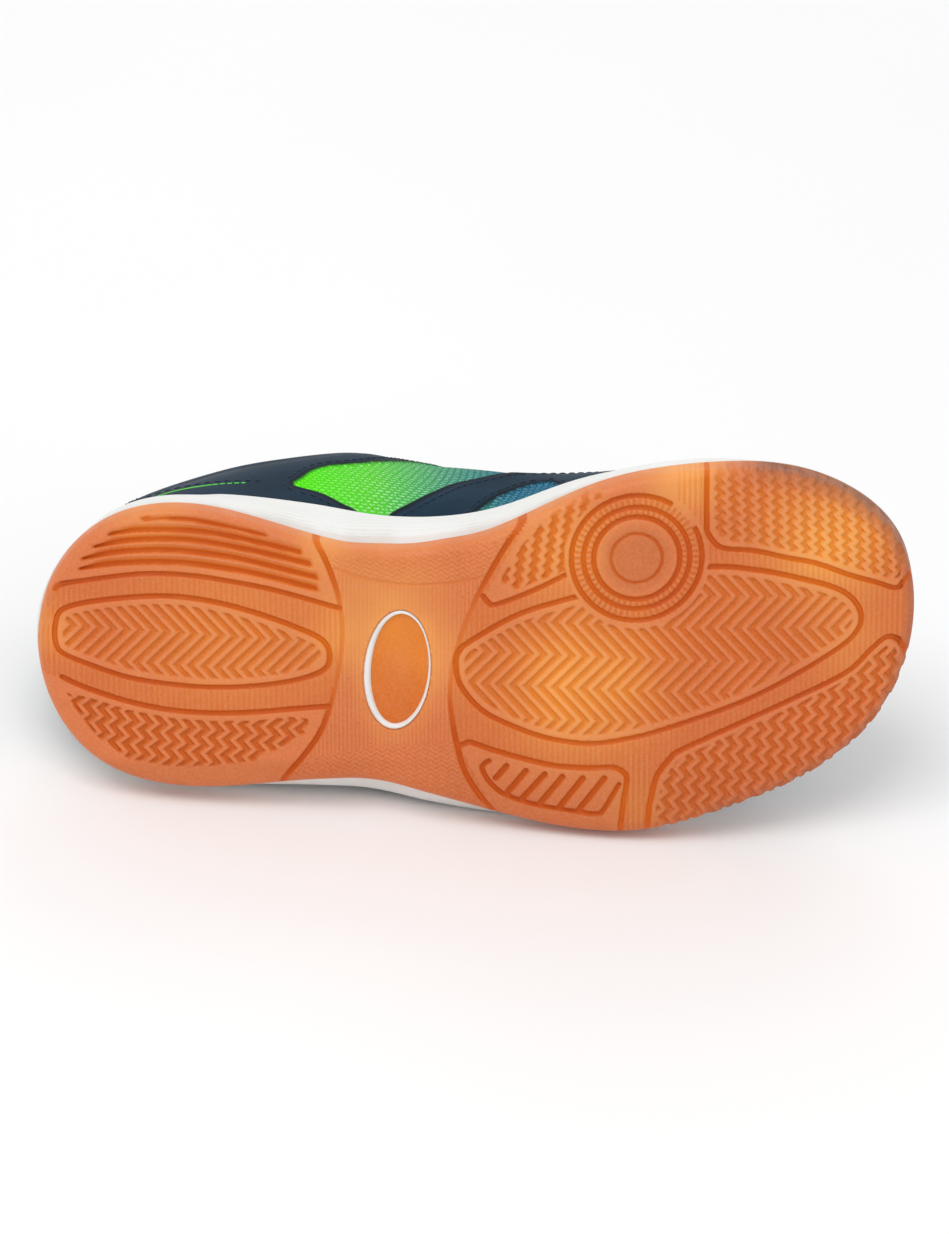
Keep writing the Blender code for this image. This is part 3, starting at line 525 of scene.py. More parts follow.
def rounded(points, steps=6, closed=False):
    """A rounded line through the points."""
    places = np.array(points, dtype=float)
    count = len(places)
    curve = []
    for i in range(count if closed else count - 1):
        if closed:
            before, here, there, after = (places[(i + k) % count] for k in (-1, 0, 1, 2))
        else:
            before, here, there, after = (places[min(max(i + k, 0), count - 1)] for k in (-1, 0, 1, 2))
        s = (np.arange(steps) / steps)[:, None]
        square = 2 * before - 5 * here + 4 * there - after
        cube = 3 * here - before - 3 * there + after
        curve.append(0.5 * (2 * here + (there - before) * s + square * s ** 2 + cube * s ** 3))
    if not closed:
        curve.append(places[-1:])
    return np.concatenate(curve)


def distance_to(line, x, y, closed=False, reach=4.0):
    """Distance from each point to a line, or a large number beyond reach of the line's box."""
    line = np.asarray(line)
    far = np.full(x.shape, 99.0)
    low, high = line.min(axis=0) - reach, line.max(axis=0) + reach
    near = (x > low[0]) & (x < high[0]) & (y > low[1]) & (y < high[1])
    px, py = x[near], y[near]
    best = np.full(px.shape, 99.0 ** 2)
    ends = np.roll(line, -1, axis=0) if closed else line[1:]
    for (ax, ay), (bx, by) in zip(line, ends):
        dx, dy = bx - ax, by - ay
        share = np.clip(((px - ax) * dx + (py - ay) * dy) / (dx * dx + dy * dy + 1e-12), 0.0, 1.0)
        best = np.minimum(best, (px - ax - share * dx) ** 2 + (py - ay - share * dy) ** 2)
    far[near] = np.sqrt(best)
    return far


def inside_of(outline, x, y):
    """True for each point inside a closed outline."""
    outline = np.asarray(outline)
    within = np.zeros(x.shape, dtype=bool)
    for (ax, ay), (bx, by) in zip(outline, np.roll(outline, -1, axis=0)):
        if ay != by:
            crosses = (ay > y) != (by > y)
            within ^= crosses & (x < (bx - ax) * (y - ay) / (by - ay) + ax)
    return within


def signed_to(outline, x, y, reach=99.0):
    """Distance to a closed outline, less than nothing inside it."""
    distance = distance_to(outline, x, y, closed=True, reach=reach)
    return np.where(inside_of(outline, x, y), -distance, distance)


def zigzag_depth(name, x, y):
    """Depth of a pad's zigzag valleys: none on the crest of a ridge, full past its foot."""
    z = ZIGZAGS[name]
    aside = (x - z.centre) ** 2
    along = x + z.lean * y + z.bow * aside
    across_pad = y - z.start - z.tilt * x + z.sweep * aside
    wave = np.abs(np.mod(across_pad + z.half_wave, 2.0 * z.half_wave) - z.half_wave)
    turns = (along + z.slope * wave - z.first) / z.pitch
    from_ridge = np.abs(turns - np.round(turns)) * z.pitch / math.hypot(1.0, z.slope)
    return z.depth * smoothstep(z.crest, z.foot, from_ridge)


def groove(distance, depth, half=GROOVE_HALF):
    """Depth of a groove at a distance from its middle line."""
    return depth * (1.0 - smoothstep(0.5 * half, half, distance))


def disc_relief(x, y):
    """The pivot disc: its depth, the share of each point that lies in it, its radius, and its cut lines."""
    dx, dy = x - DISC[0], y - DISC[1]
    radius = np.hypot(dx, dy)
    angle = np.arctan2(dy, dx)
    turned = np.degrees(angle)
    within = 1.0 - smoothstep(DISC_GROOVES[0] + 1.5, DISC_GROOVES[0] + 1.9, radius)
    depth = np.full(x.shape, 0.12)
    line = np.zeros(x.shape)
    for outer, inner, count in zip(DISC_GROOVES, DISC_GROOVES[1:], DISC_TICKS):
        ring = smoothstep(inner + 0.3, inner + 0.5, radius)
        ring = ring * (1.0 - smoothstep(outer - 0.5, outer - 0.3, radius))
        gaps = ring * smoothstep(-0.3, 0.6, np.cos(angle * count))
        depth = depth + 0.38 * gaps
        line = line + 0.22 * gaps
    broken = smoothstep(DISC_BREAK[0] - 3, DISC_BREAK[0], turned)
    broken = broken * (1.0 - smoothstep(DISC_BREAK[1], DISC_BREAK[1] + 3, turned))
    for ring, whole in zip(DISC_GROOVES, (1.0 - broken, 1.0, 1.0)):
        mark = groove(np.abs(radius - ring), 1.0, 0.75) * whole
        depth = np.maximum(depth, 0.8 * mark)
        line = np.maximum(line, mark)
    mark = groove(np.abs(radius - DISC_RING), 1.0, 0.5)
    return np.maximum(depth, 0.5 * mark), within, radius, np.maximum(line, 0.6 * mark)


def terrace_relief(x, y):
    """Depth of the long steps in the heel's medial pad: each slopes down to a line, then steps back up."""
    depth = np.zeros(x.shape)
    for number, line in enumerate(TERRACES):
        line = rounded(line)
        first, last = line[0, 0], line[-1, 0]
        past = y - np.interp(x, line[:, 0], line[:, 1])
        point = smoothstep(first - 0.5, first + 7.0, x)
        width = 0.5 + 1.9 * point
        deepest = -0.05
        if number == 0:
            width = 0.6 + 0.6 * point * (1.0 - smoothstep(last - 16.0, last, x))
            deepest = -0.4
        step = smoothstep(-width, deepest, past) * (1.0 - smoothstep(0.2, 0.65, past))
        within = smoothstep(first - 0.5, first + 0.8, x) * (1.0 - smoothstep(last - 1.2, last + 0.3, x))
        depth = np.maximum(depth, 1.05 * step * within)
    return depth


def comb_relief(x, y):
    """Depth of the lateral rear pad's slanted slots and the line that joins them."""
    depth = groove(distance_to(rounded(COMB_LINE), x, y), 1.0, 0.7)
    for top, foot in zip(COMB_TOPS, COMB_FEET):
        depth = np.maximum(depth, groove(distance_to([top, foot], x, y), 1.0, 0.85))
    return depth


def oval_place(x, y):
    """How far out each point is in the arch oval: 1 on the outside of its ring."""
    dx, dy = x - OVAL[0], y - OVAL[1]
    across_oval = dx * math.cos(OVAL_LEAN) + dy * math.sin(OVAL_LEAN)
    along_oval = dy * math.cos(OVAL_LEAN) - dx * math.sin(OVAL_LEAN)
    return np.hypot(across_oval / OVAL_HALF[0], along_oval / OVAL_HALF[1])


def rib_wave(x, pitch):
    """The wave of ribs across the sole: 1 in the middle of each valley."""
    return np.cos(2 * math.pi * (x - ROUND_END) / pitch)


def plain_tread(x, y, on_foot):
    """Ribs under heel and forefoot; finer ribs in the waist, with ripples along its sides."""
    ribs = 0.27 + 0.14 * rib_wave(x, RIB_PITCH)
    arch_ribs = 0.13 + 0.08 * rib_wave(x, ARCH_RIB_PITCH)
    ripple = 0.13 + 0.08 * np.cos(2 * math.pi * (y + 0.45 * np.sin(2 * math.pi * x / 2.6)) / 1.15)
    arch_line = rounded(ARCH_LINE)
    upper_side = smoothstep(-0.6, 0.6, np.interp(x, arch_line[:, 0], arch_line[:, 1]) - y)
    lower_side = smoothstep(24.0, 26.0, y + 0.12 * (x - 86.0))
    sides = np.maximum(upper_side, lower_side)
    return np.where(on_foot, ribs, arch_ribs * (1 - sides) + ripple * sides)


def pad_distances(x, y, rear, front):
    """Distance outside each pad of the tread, less than nothing on the pad."""
    pads = {"heel_leaf": signed_to(rounded(HEEL_LEAF, closed=True), x, y, 9.0),
            "fore_leaf": signed_to(rounded(FORE_LEAF, closed=True), x, y, 9.0)}
    for name, pad, zone in (
            ("heel_medial", HEEL_MEDIAL_PAD, rear), ("heel_lateral", HEEL_LATERAL_PAD, rear),
            ("medial_rear", MEDIAL_REAR_PAD, front), ("medial_toe", MEDIAL_TOE_PAD, front),
            ("lateral_toe", LATERAL_TOE_PAD, front), ("lateral_rear", LATERAL_REAR_PAD, front)):
        pads[name] = np.where(zone, signed_to(pad, x, y), 99.0)
    return pads


def zigzag_patterns(x, y, pads, disc_radius):
    """Depth of the zigzags of each pad that carries them, faded out at the edge of their field."""
    leaf_edge = (-RIM_WIDTH - 0.35, -RIM_WIDTH + 0.25)
    field_edge = (-0.5, 0.2)
    toe_edge = (-2.2, -1.5)
    patterns = {}
    for name, signed, edge in (
            ("heel_leaf", pads["heel_leaf"], leaf_edge),
            ("fore_leaf", pads["fore_leaf"], leaf_edge),
            ("heel_lateral", signed_to(HEEL_LATERAL_FIELD, x, y, 9.0), field_edge),
            ("medial_rear", signed_to(MEDIAL_REAR_FIELD, x, y, 9.0), field_edge),
            ("medial_toe", pads["medial_toe"], toe_edge),
            ("lateral_toe", pads["lateral_toe"], toe_edge)):
        patterns[name] = (1.0 - smoothstep(*edge, signed)) * zigzag_depth(name, x, y)
    patterns["fore_leaf"] *= smoothstep(DISC_GROOVES[0] + 1.9, DISC_GROOVES[0] + 2.5, disc_radius)
    return patterns


def cut_lines(x, y):
    """Lines cut round the pads, and the two arcs that bound the waist, faint in their middle."""
    cut = np.zeros(x.shape)
    for line in (HEEL_MEDIAL, HEEL_LATERAL, MEDIAL_REAR, MEDIAL_TOE, LATERAL_TOE, LATERAL_REAR):
        cut = np.maximum(cut, groove(distance_to(rounded(line), x, y), 1.0))
    for line in (HEEL_LEAF, FORE_LEAF):
        cut = np.maximum(cut, groove(distance_to(rounded(line, closed=True), x, y, closed=True), 1.0))
    strength = 1.0 - 0.6 * (1.0 - smoothstep(8.0, 24.0, np.abs(y)))
    for line in (HEEL_ARC, FORE_ARC):
        cut = np.maximum(cut, strength * groove(distance_to(rounded(line), x, y), 1.0))
    return cut


def tread_relief(x, y):
    """Depth of the tread pattern into the sole, and 1 in the grooves that are cut as lines, which the gum
    paints a deeper orange as painted shade.
    """
    rear = x < np.interp(y, *np.array(HEEL_ARC).T[::-1])
    front = x > np.interp(y, *np.array(FORE_ARC).T[::-1])
    depth = plain_tread(x, y, rear | front)
    pads = pad_distances(x, y, rear, front)

    # Pads are smooth where they carry no pattern
    ribbed = np.where(rear | front, 1.0, 0.0)
    for signed in pads.values():
        on_pad = 1.0 - smoothstep(-0.4, 0.2, signed)
        depth = depth + (0.1 - depth) * on_pad
        ribbed = ribbed * (1.0 - on_pad)
    disc_depth, in_disc, disc_radius, disc_line = disc_relief(x, y)
    patterns = zigzag_patterns(x, y, pads, disc_radius)
    terraces = np.where(rear, terrace_relief(x, y), 0.0)
    comb = comb_relief(x, y)
    for pattern in (*patterns.values(), terraces, 0.85 * comb):
        depth = np.maximum(depth, pattern)

    # Flex bands at the ball: two smooth bars either side of a few long ribs
    for left, right, low, high in ((153.6, 160.0, -60.0, -26.0), (141.9, 147.4, 27.0, 60.0)):
        band = (x > left) & (x < right) & (y > low) & (y < high)
        depth = np.where(band, 0.22 + 0.16 * np.cos(2 * math.pi * (x - left) / 1.3), depth)

    cut = cut_lines(x, y)
    # These marks, the rib gaps among them, also carry the painted shade of the grooves
    for mark in (0.9 * comb,
                 0.8 * smoothstep(0.5, 1.05, terraces),
                 0.3 * ribbed * smoothstep(0.0, 1.0, rib_wave(x, RIB_PITCH)),
                 0.4 * patterns["heel_lateral"],
                 0.4 * patterns["medial_rear"],
                 0.28 * patterns["lateral_toe"]):
        cut = np.maximum(cut, mark)
    depth = np.maximum(depth, GROOVE_DEPTH * cut)
    depth = np.maximum(depth, groove(distance_to(rounded(ARCH_LINE), x, y), 0.34, 0.5))
    depth = depth + (disc_depth - depth) * in_disc
    cut = cut + (disc_line - cut) * in_disc

    # The arch oval: a seat for the ring, and a smooth dished middle
    place = oval_place(x, y)
    ring_inner = 1.0 - OVAL_BAND / OVAL_HALF[0]
    depth = np.where(place < 1.06, 0.1, depth)
    depth = np.where(place < 1.0, 0.75, depth)
    dish = 0.5 + 0.25 * smoothstep(0.0, ring_inner, place)
    return np.where(place < ring_inner - 0.05, dish, depth), cut * (place > 1.06)


def gum_glow(x, y):
    """Painted light: where the rubber is painted lighter and more amber, as if lit through, with a faint
    painted halo round the arch oval.
    """
    glow = np.zeros(x.shape)
    for centre_x, centre_y, size, amount in GLOW_SPOTS:
        glow += amount * np.exp(-((x - centre_x) ** 2 + (y - centre_y) ** 2) / (size * size))
    place = oval_place(x, y)
    halo = np.where(place > 0.9, np.exp(-((place - 1.05) / 0.24) ** 2), 0.0)
    return np.clip(glow + 0.18 * halo, 0.0, 1.0)


def gum_fields(x, y, from_wall_top):
    """Where the gum has its painted glow, is worn at the toe, and has painted shade (lateral forefoot, disc,
    lateral heel rim).
    """
    toe_end = np.where(y < 0.0, smoothstep(160.0, 176.0, x), smoothstep(150.0, 166.0, x))
    wear = toe_end * smoothstep(5.2, -1.5, from_wall_top)
    # Painted shade: the lateral forefoot, the disc and the lateral heel rim are painted darker
    forefoot = smoothstep(14.0, 46.0, y) * smoothstep(60.0, 110.0, x)
    disc = 1.0 - smoothstep(6.5, 9.5, np.hypot(x - DISC[0], y - DISC[1]))
    heel_rim = smoothstep(26.5, 30.5, y) * (1.0 - smoothstep(75.0, 95.0, x))
    painted_shade = np.maximum(np.maximum(forefoot, 0.9 * disc), 0.8 * heel_rim)
    return {"glow": gum_glow(x, y), "wear": wear, "painted_shade": painted_shade}


def tread_rows():
    """Places along the sole of the tread's rows: even in the middle, closer together at the round ends."""
    turn = math.acos(1.0 - ROUND_END / ROUND_RADIUS)
    end = ROUND_RADIUS * (1.0 - np.cos(np.linspace(0.02, turn, ROUND_ROWS)))
    middle = np.arange(ROUND_END + ROW_STEP, SOLE_LENGTH - ROUND_END - ROW_STEP / 2, ROW_STEP)
    return np.concatenate((end, middle, (SOLE_LENGTH - end)[::-1]))


def outsole_surface():
    """Rows of points from the medial rim, down the wall, over the tread and up to the lateral rim."""
    rows = tread_rows()
    numbers = np.linspace(0.0, HALF, 4001)
    medial = np.interp(rows, np.maximum.accumulate(sole_at(numbers)[:, 0]), numbers)
    back = ROWS_ROUND - numbers
    lateral = np.interp(rows, np.maximum.accumulate(sole_at(back)[:, 0]), back)
    sides = []
    for number in (medial, lateral):
        edge, outward = edge_frame(number)
        ground = bottom_height(edge[:, 0], edge[:, 1])
        rim = sole_at(number)[:, 3]
        points, normals, weights = [], [], []
        rim_roll = ((-RIM_WALL, -2.5, 0.0), (-RIM_WALL, -0.2, 0.0), (-RIM_WALL + 0.25, 0.0, 0.0),
                    (-0.3, 0.0, 0.0), (0.0, -0.35, 0.0))
        for outset, above, weight in rim_roll:
            points.append(np.column_stack((edge + outward * outset, ground + rim + above)))
            normals.append(np.column_stack((outward, 0 * ground)))
            weights.append(weight)
        for step in range(1, WALL_STEPS):
            share = step / WALL_STEPS
            height = ground + EDGE_ROUND + (rim - 0.35 - EDGE_ROUND) * (1 - share)
            points.append(np.column_stack((edge, height)))
            normals.append(np.column_stack((outward, 0 * ground)))
            weights.append(share)
        for step in range(EDGE_STEPS + 1):
            angle = 0.5 * math.pi * (1 - step / EDGE_STEPS)
            level = edge - outward * EDGE_ROUND * (1 - math.sin(angle))
            rise = EDGE_ROUND * (1 - math.cos(angle))
            points.append(np.column_stack((level, bottom_height(level[:, 0], level[:, 1]) + rise)))
            normals.append(np.column_stack((outward * math.sin(angle), np.full(len(edge), -math.cos(angle)))))
            weights.append(1.0)
        sides.append((np.stack(points, 1), np.stack(normals, 1), np.array(weights)))
    (left, left_normals, left_weights), (right, right_normals, right_weights) = sides
    shares = np.linspace(0.0, 1.0, TREAD_COLUMNS + 2)[1:-1]
    middle = left[:, -1:, :2] * (1 - shares)[None, :, None] + right[:, -1:, :2] * shares[None, :, None]
    middle = np.concatenate((middle, bottom_height(middle[..., 0], middle[..., 1])[..., None]), axis=-1)
    down = np.broadcast_to(np.array((0.0, 0.0, -1.0)), middle.shape)
    points = np.concatenate((left, middle, right[:, ::-1]), axis=1)
    normals = np.concatenate((left_normals, down, right_normals[:, ::-1]), axis=1)
    weights = np.concatenate((left_weights, np.ones(TREAD_COLUMNS), right_weights[::-1]))
    return points, normals, weights


def toe_wrap(x, y):
    """1 where the toe pads' zigzags run over the edge of the sole."""
    medial = smoothstep(162.0, 165.0, x) * smoothstep(13.5, 15.5, -y)
    lateral = smoothstep(149.0, 152.0, x) * smoothstep(3.0, 6.0, y)
    return np.maximum(medial, lateral)


def outsole(material):
    """The gum rubber cup with its tread, in a rear and a front piece."""
    points, normals, weights = outsole_surface()
    x, y = points[..., 0], points[..., 1]
    depth, line = (field.reshape(x.shape) for field in tread_relief(x.ravel(), y.ravel()))
    wall_columns = (points.shape[1] - TREAD_COLUMNS) // 2
    column = np.minimum(np.arange(points.shape[1]), np.arange(points.shape[1])[::-1])
    wrap = toe_wrap(x, y)
    on_edge = smoothstep(1.0, EDGE_STEPS, wall_columns - column)[None, :]
    plain_edge = depth * (1.0 - on_edge) + 0.06 * on_edge
    over_edge = np.where(y < 0.0, 0.7, 0.35)
    wrapped = depth * (over_edge + (1 - over_edge) * np.abs(normals[..., 2]))
    cut = (plain_edge * (1 - wrap) + wrapped * wrap) * weights[None, :]
    points = points - normals * cut[..., None]
    from_wall_top = (column - wall_columns + EDGE_STEPS) * 0.35
    fields = gum_fields(x, y, from_wall_top[None, :])
    # The tread field also sets the gum's colour: paler crests as painted highlight with some dust and wear,
    # deeper recesses as painted shade
    fields.update(tread=np.clip(cut / CHEVRON_DEPTH, 0.0, 1.0), line=line)
    smooth_normals = grid_normals(points)
    if smooth_normals[len(points) // 2, points.shape[1] // 2, 2] > 0:
        smooth_normals = -smooth_normals
    split = int(np.searchsorted(tread_rows(), 100.0))
    pieces = []
    for name, rows in (("outsole_rear", slice(0, split + 1)), ("outsole_fore", slice(split, None))):
        part = points[rows]
        count, columns = part.shape[:2]
        last = 0 if name == "outsole_rear" else count - 1
        zipped = zipped_loop(np.arange(columns) + last * columns)
        if last == 0:
            zipped = zipped[:, ::-1]
        piece = make_piece(name, part, [grid_faces(count, columns), zipped], material, smooth_normals[rows],
                           {key: values[rows] for key, values in fields.items()})
        pieces.append(piece)
    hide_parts("outsole")
    return pieces


def oval_ring(material):
    """The white ring set into the arch, wider at the heel side and at the bottom."""
    count, profile = 120, 9
    angle = np.linspace(0.0, 2 * math.pi, count, endpoint=False)
    width = OVAL_BAND * (0.78 - 0.38 * np.cos(angle) + 0.14 * np.sin(angle))
    loops = []
    for across_share in np.linspace(0.0, 1.0, profile):
        inward = width * across_share
        u = (OVAL_HALF[0] - inward) * np.cos(angle)
        v = (OVAL_HALF[1] - inward) * np.sin(angle)
        x = OVAL[0] + u * math.cos(OVAL_LEAN) - v * math.sin(OVAL_LEAN)
        y = OVAL[1] + v * math.cos(OVAL_LEAN) + u * math.sin(OVAL_LEAN)
        proud = 0.95 * math.sin(math.pi * across_share) ** 0.5 - 0.85
        wobble = 0.05 * np.sin(5 * angle + 1.0) * math.sin(math.pi * across_share)
        loops.append(np.column_stack((x, y, bottom_height(x, y) - proud - wobble)))
    points = np.stack(loops)
    return make_piece("arch_ring", points, grid_faces(profile, count, closed=True), material,
                      fields={"grime": np.full(profile * count, 0.35)})


def srgb(*colour):
    """A screen colour as the linear colour that shaders take."""
    linear = (((c / 255 + 0.055) / 1.055) ** 2.4 if c > 10 else c / 255 / 12.92 for c in colour)
    return (*linear, 1.0)


class Shader:
    """A material's nodes, added one call at a time."""

    def __init__(self, name, roughness, specular=0.5, sheen=0.0, coat=0.0, subsurface=0.0):
        self.material = bpy.data.materials.new(name)
        self.material.use_nodes = True
        self.tree = self.material.node_tree
        self.surface = self.tree.nodes["Principled BSDF"]
        self.surface.inputs["Roughness"].default_value = roughness
        self.surface.inputs["Specular IOR Level"].default_value = specular
        self.surface.inputs["Sheen Weight"].default_value = sheen
        self.surface.inputs["Coat Weight"].default_value = coat
        self.surface.inputs["Subsurface Weight"].default_value = subsurface

    def node(self, kind, **settings):
        made = self.tree.nodes.new("ShaderNode" + kind)
        for key, value in settings.items():
            setattr(made, key, value)
        return made

    def put(self, socket, value):
        if isinstance(value, bpy.types.NodeSocket):
            self.tree.links.new(value, socket)
        else:
            socket.default_value = value

    def field(self, name):
        return self.node("Attribute", attribute_name=name).outputs["Fac"]

    def place(self):
        return self.node("TexCoord").outputs["Object"]

    def weave(self):
        return self.node("UVMap", uv_map="weave").outputs["UV"]

    def noise(self, scale, detail=3.0, where=None):
        made = self.node("TexNoise")
        self.put(made.inputs["Vector"], where or self.place())
        made.inputs["Scale"].default_value = scale
        made.inputs["Detail"].default_value = detail
        made.inputs["Roughness"].default_value = 0.55
        return made.outputs["Fac"]

    def cells(self, scale):
        made = self.node("TexVoronoi")
        self.put(made.inputs["Vector"], self.place())
        made.inputs["Scale"].default_value = scale
        return made.outputs["Distance"]

    def bricks(self, width, height, mortar, smooth):
        """Staggered stitches of a knit or weave: 0 on the yarn, 1 between."""
        made = self.node("TexBrick", offset=0.5, squash=1.0)
        self.put(made.inputs["Vector"], self.weave())
        for key, value in (("Scale", 1.0), ("Mortar Size", mortar), ("Mortar Smooth", smooth),
                           ("Brick Width", width), ("Row Height", height)):
            made.inputs[key].default_value = value
        return made.outputs["Fac"]

    def math(self, operation, first, second=0.0):
        made = self.node("Math", operation=operation)
        self.put(made.inputs[0], first)
        self.put(made.inputs[1], second)
        return made.outputs[0]

    def span(self, value, low, high, to_low=0.0, to_high=1.0):
        made = self.node("MapRange", interpolation_type="SMOOTHSTEP")
        for socket, item in zip(made.inputs, (value, low, high, to_low, to_high)):
            self.put(socket, item)
        return made.outputs["Result"]

    def ramp(self, value, stops):
        made = self.node("ValToRGB")
        self.put(made.inputs["Fac"], value)
        band = made.color_ramp.elements
        while len(band) < len(stops):
            band.new(0.5)
        for element, (place, colour) in zip(band, stops):
            element.position = place
            element.color = colour
        return made.outputs["Color"]

    def mix(self, share, first, second):
        made = self.node("Mix", data_type="RGBA")
        self.put(made.inputs[0], share)
        self.put(made.inputs[6], first)
        self.put(made.inputs[7], second)
        return made.outputs[2]

    def tint(self, colour, where, strength, other):
        """The colour with some of another mixed in where a mask says so."""
        return self.mix(self.math("MULTIPLY", where, strength), colour, other)

    def bump(self, height, strength, distance, before=None):
        made = self.node("Bump")
        made.inputs["Strength"].default_value = strength
        made.inputs["Distance"].default_value = distance * MM
        self.put(made.inputs["Height"], height)
        if before is not None:
            self.put(made.inputs["Normal"], before)
        return made.outputs["Normal"]

    def finish(self, colour, roughness=None, normal=None):
        self.put(self.surface.inputs["Base Color"], colour)
        if roughness is not None:
            self.put(self.surface.inputs["Roughness"], roughness)
        if normal is not None:
            self.put(self.surface.inputs["Normal"], normal)
        return self.material


def gum_material():
    """Translucent gum rubber: paler on its crests, from dust and wear and from a painted highlight, deeper
    orange in its recesses and grooves as painted shade, and amber where it is thin as painted light.
    """
    shader = Shader("gum_rubber", 0.5, specular=0.3, subsurface=0.22)
    shader.surface.inputs["Subsurface Radius"].default_value = (1.0, 0.35, 0.1)
    shader.surface.inputs["Subsurface Scale"].default_value = 1.6 * MM
    # Paler on the crests, deeper orange down into the recesses: partly dust and wear on the crests, partly
    # painted highlight on the crests and painted shade in the recesses
    colour = shader.ramp(shader.field("tread"), [
        (0.0, srgb(224, 131, 80)), (0.22, srgb(205, 108, 58)),
        (0.5, srgb(214, 113, 47)), (1.0, srgb(211, 105, 25))])
    # Painted light: a lighter amber glow mixed in where the rubber is thin
    amber = shader.ramp(shader.field("tread"), [(0.0, srgb(246, 174, 94)), (1.0, srgb(240, 150, 34))])
    colour = shader.mix(shader.field("glow"), colour, amber)
    mottle = shader.span(shader.noise(70.0, 4.0), 0.35, 0.7)
    colour = shader.tint(colour, mottle, 0.22, srgb(196, 98, 50))
    # Painted shade: a darker, browner orange over the lateral forefoot, the disc and the lateral heel rim
    colour = shader.tint(colour, shader.field("painted_shade"), 0.3, srgb(160, 70, 28))
    scuff = shader.span(shader.noise(260.0, 3.0), 0.2, 0.7, 0.85, 1.0)
    wear = shader.math("MULTIPLY", shader.field("wear"), scuff)
    rubbed = shader.ramp(wear, [
        (0.0, srgb(204, 116, 72)), (0.6, srgb(180, 102, 66)), (1.0, srgb(112, 60, 38))])
    colour = shader.tint(colour, wear, 0.9, rubbed)
    grain = shader.span(shader.noise(1500.0, 2.0), 0.35, 0.7)
    colour = shader.tint(colour, grain, 0.16, srgb(236, 158, 108))
    # Painted shade: the grooves cut as lines and the rib gaps are painted a deep, saturated orange, lighter
    # where the painted glow is
    painted_groove_shade = shader.ramp(shader.field("glow"), [(0.0, srgb(198, 82, 0)), (1.0, srgb(228, 124, 4))])
    colour = shader.mix(shader.span(shader.field("line"), 0.0, 0.75), colour, painted_groove_shade)
    specks = shader.span(shader.noise(900.0, 2.0), 0.72, 0.76)
    colour = shader.tint(colour, specks, 0.4, srgb(120, 62, 40))
    roughness = shader.span(shader.noise(220.0, 3.0), 0.3, 0.7, 0.42, 0.6)
    normal = shader.bump(shader.noise(1600.0, 2.0), 0.12, 0.25)
    return shader.finish(colour, roughness, normal)


def foam_material():
    """White moulded foam with faint grime near the edges and in its lines."""
    shader = Shader("white_foam", 0.6, specular=0.35, subsurface=0.05)
    shader.surface.inputs["Subsurface Radius"].default_value = (1.0, 0.9, 0.8)
    shader.surface.inputs["Subsurface Scale"].default_value = 1.0 * MM
    patches = shader.span(shader.noise(60.0, 4.0), 0.35, 0.75)
    grime = shader.math("MULTIPLY", shader.field("grime"), patches)
    colour = shader.mix(grime, srgb(233, 233, 231), srgb(198, 192, 183))
    specks = shader.span(shader.noise(700.0, 2.0), 0.74, 0.78)
    colour = shader.tint(colour, specks, 0.25, srgb(150, 140, 128))
    normal = shader.bump(shader.noise(1300.0, 2.0), 0.15, 0.2)
    return shader.finish(colour, shader.span(patches, 0.0, 1.0, 0.5, 0.68), normal)


def even_numbers(count):
    """Row numbers spaced evenly round the edge of the sole."""
    numbers = np.linspace(0.0, ROWS_ROUND, 2401)
    lengths = run_lengths(sole_at(numbers)[:, :2])
    return np.interp(np.linspace(0.0, lengths[-1], count, endpoint=False), lengths, numbers)


def ring_normals(points):
    """Unit normals of a grid whose columns close on themselves."""
    along = np.roll(points, -1, axis=1) - np.roll(points, 1, axis=1)
    return unit(np.cross(along, np.gradient(points, axis=0)))


def cap(numbers, loop, height, columns, start, facing_up):
    """Points and faces that close a loop of points in rows from its medial to its lateral side."""
    count = len(loop)
    half = count // 2
    left, right = loop[1:half, None, :2], loop[count - 1:half:-1, None, :2]
    shares = np.linspace(0.0, 1.0, columns + 1)[1:-1, None]
    level = left * (1 - shares) + right * shares
    inner = np.concatenate((level, height(level[..., 0], level[..., 1])[..., None]), axis=-1)
    index = start + np.arange(inner.shape[0] * inner.shape[1]).reshape(inner.shape[:2])
    index = np.column_stack((numbers[1:half], index, numbers[count - 1:half:-1]))
    quads = np.stack((index[:-1, :-1], index[:-1, 1:], index[1:, 1:], index[1:, :-1]), axis=-1)
    quads = quads.reshape(-1, 4)
    ends = []
    for tip, row, turn in ((numbers[0], index[0], 1), (numbers[half], index[-1], -1)):
        ends.append(np.column_stack((np.full(columns, tip), row[:-1], row[1:]))[:, ::turn])
    triangles = np.concatenate(ends)[:, ::-1]
    if facing_up:
        quads, triangles = quads[:, ::-1], triangles[:, ::-1]
    return inner.reshape(-1, 3), quads, triangles


def stacked(name, loops, low_height, high_height, material, columns=24, fields=None):
    """A closed piece made of loops from bottom to top, closed by curved caps."""
    loops = np.asarray(loops)
    rows, count = loops.shape[:2]
    index = np.arange(rows * count).reshape(rows, count)
    low, low_quads, low_ends = cap(index[0], loops[0], low_height, columns, rows * count, False)
    start = rows * count + len(low)
    high, high_quads, high_ends = cap(index[-1], loops[-1], high_height, columns, start, True)
    points = np.concatenate((loops.reshape(-1, 3), low, high))
    faces = [grid_faces(rows, count, closed=True), low_quads, low_ends, high_quads, high_ends]
    extra = len(low) + len(high)
    filled = {}
    for key, value in (fields or {}).items():
        filled[key] = np.concatenate((np.ravel(value), np.zeros(extra)))
    return make_piece(name, points, faces, material, fields=filled)


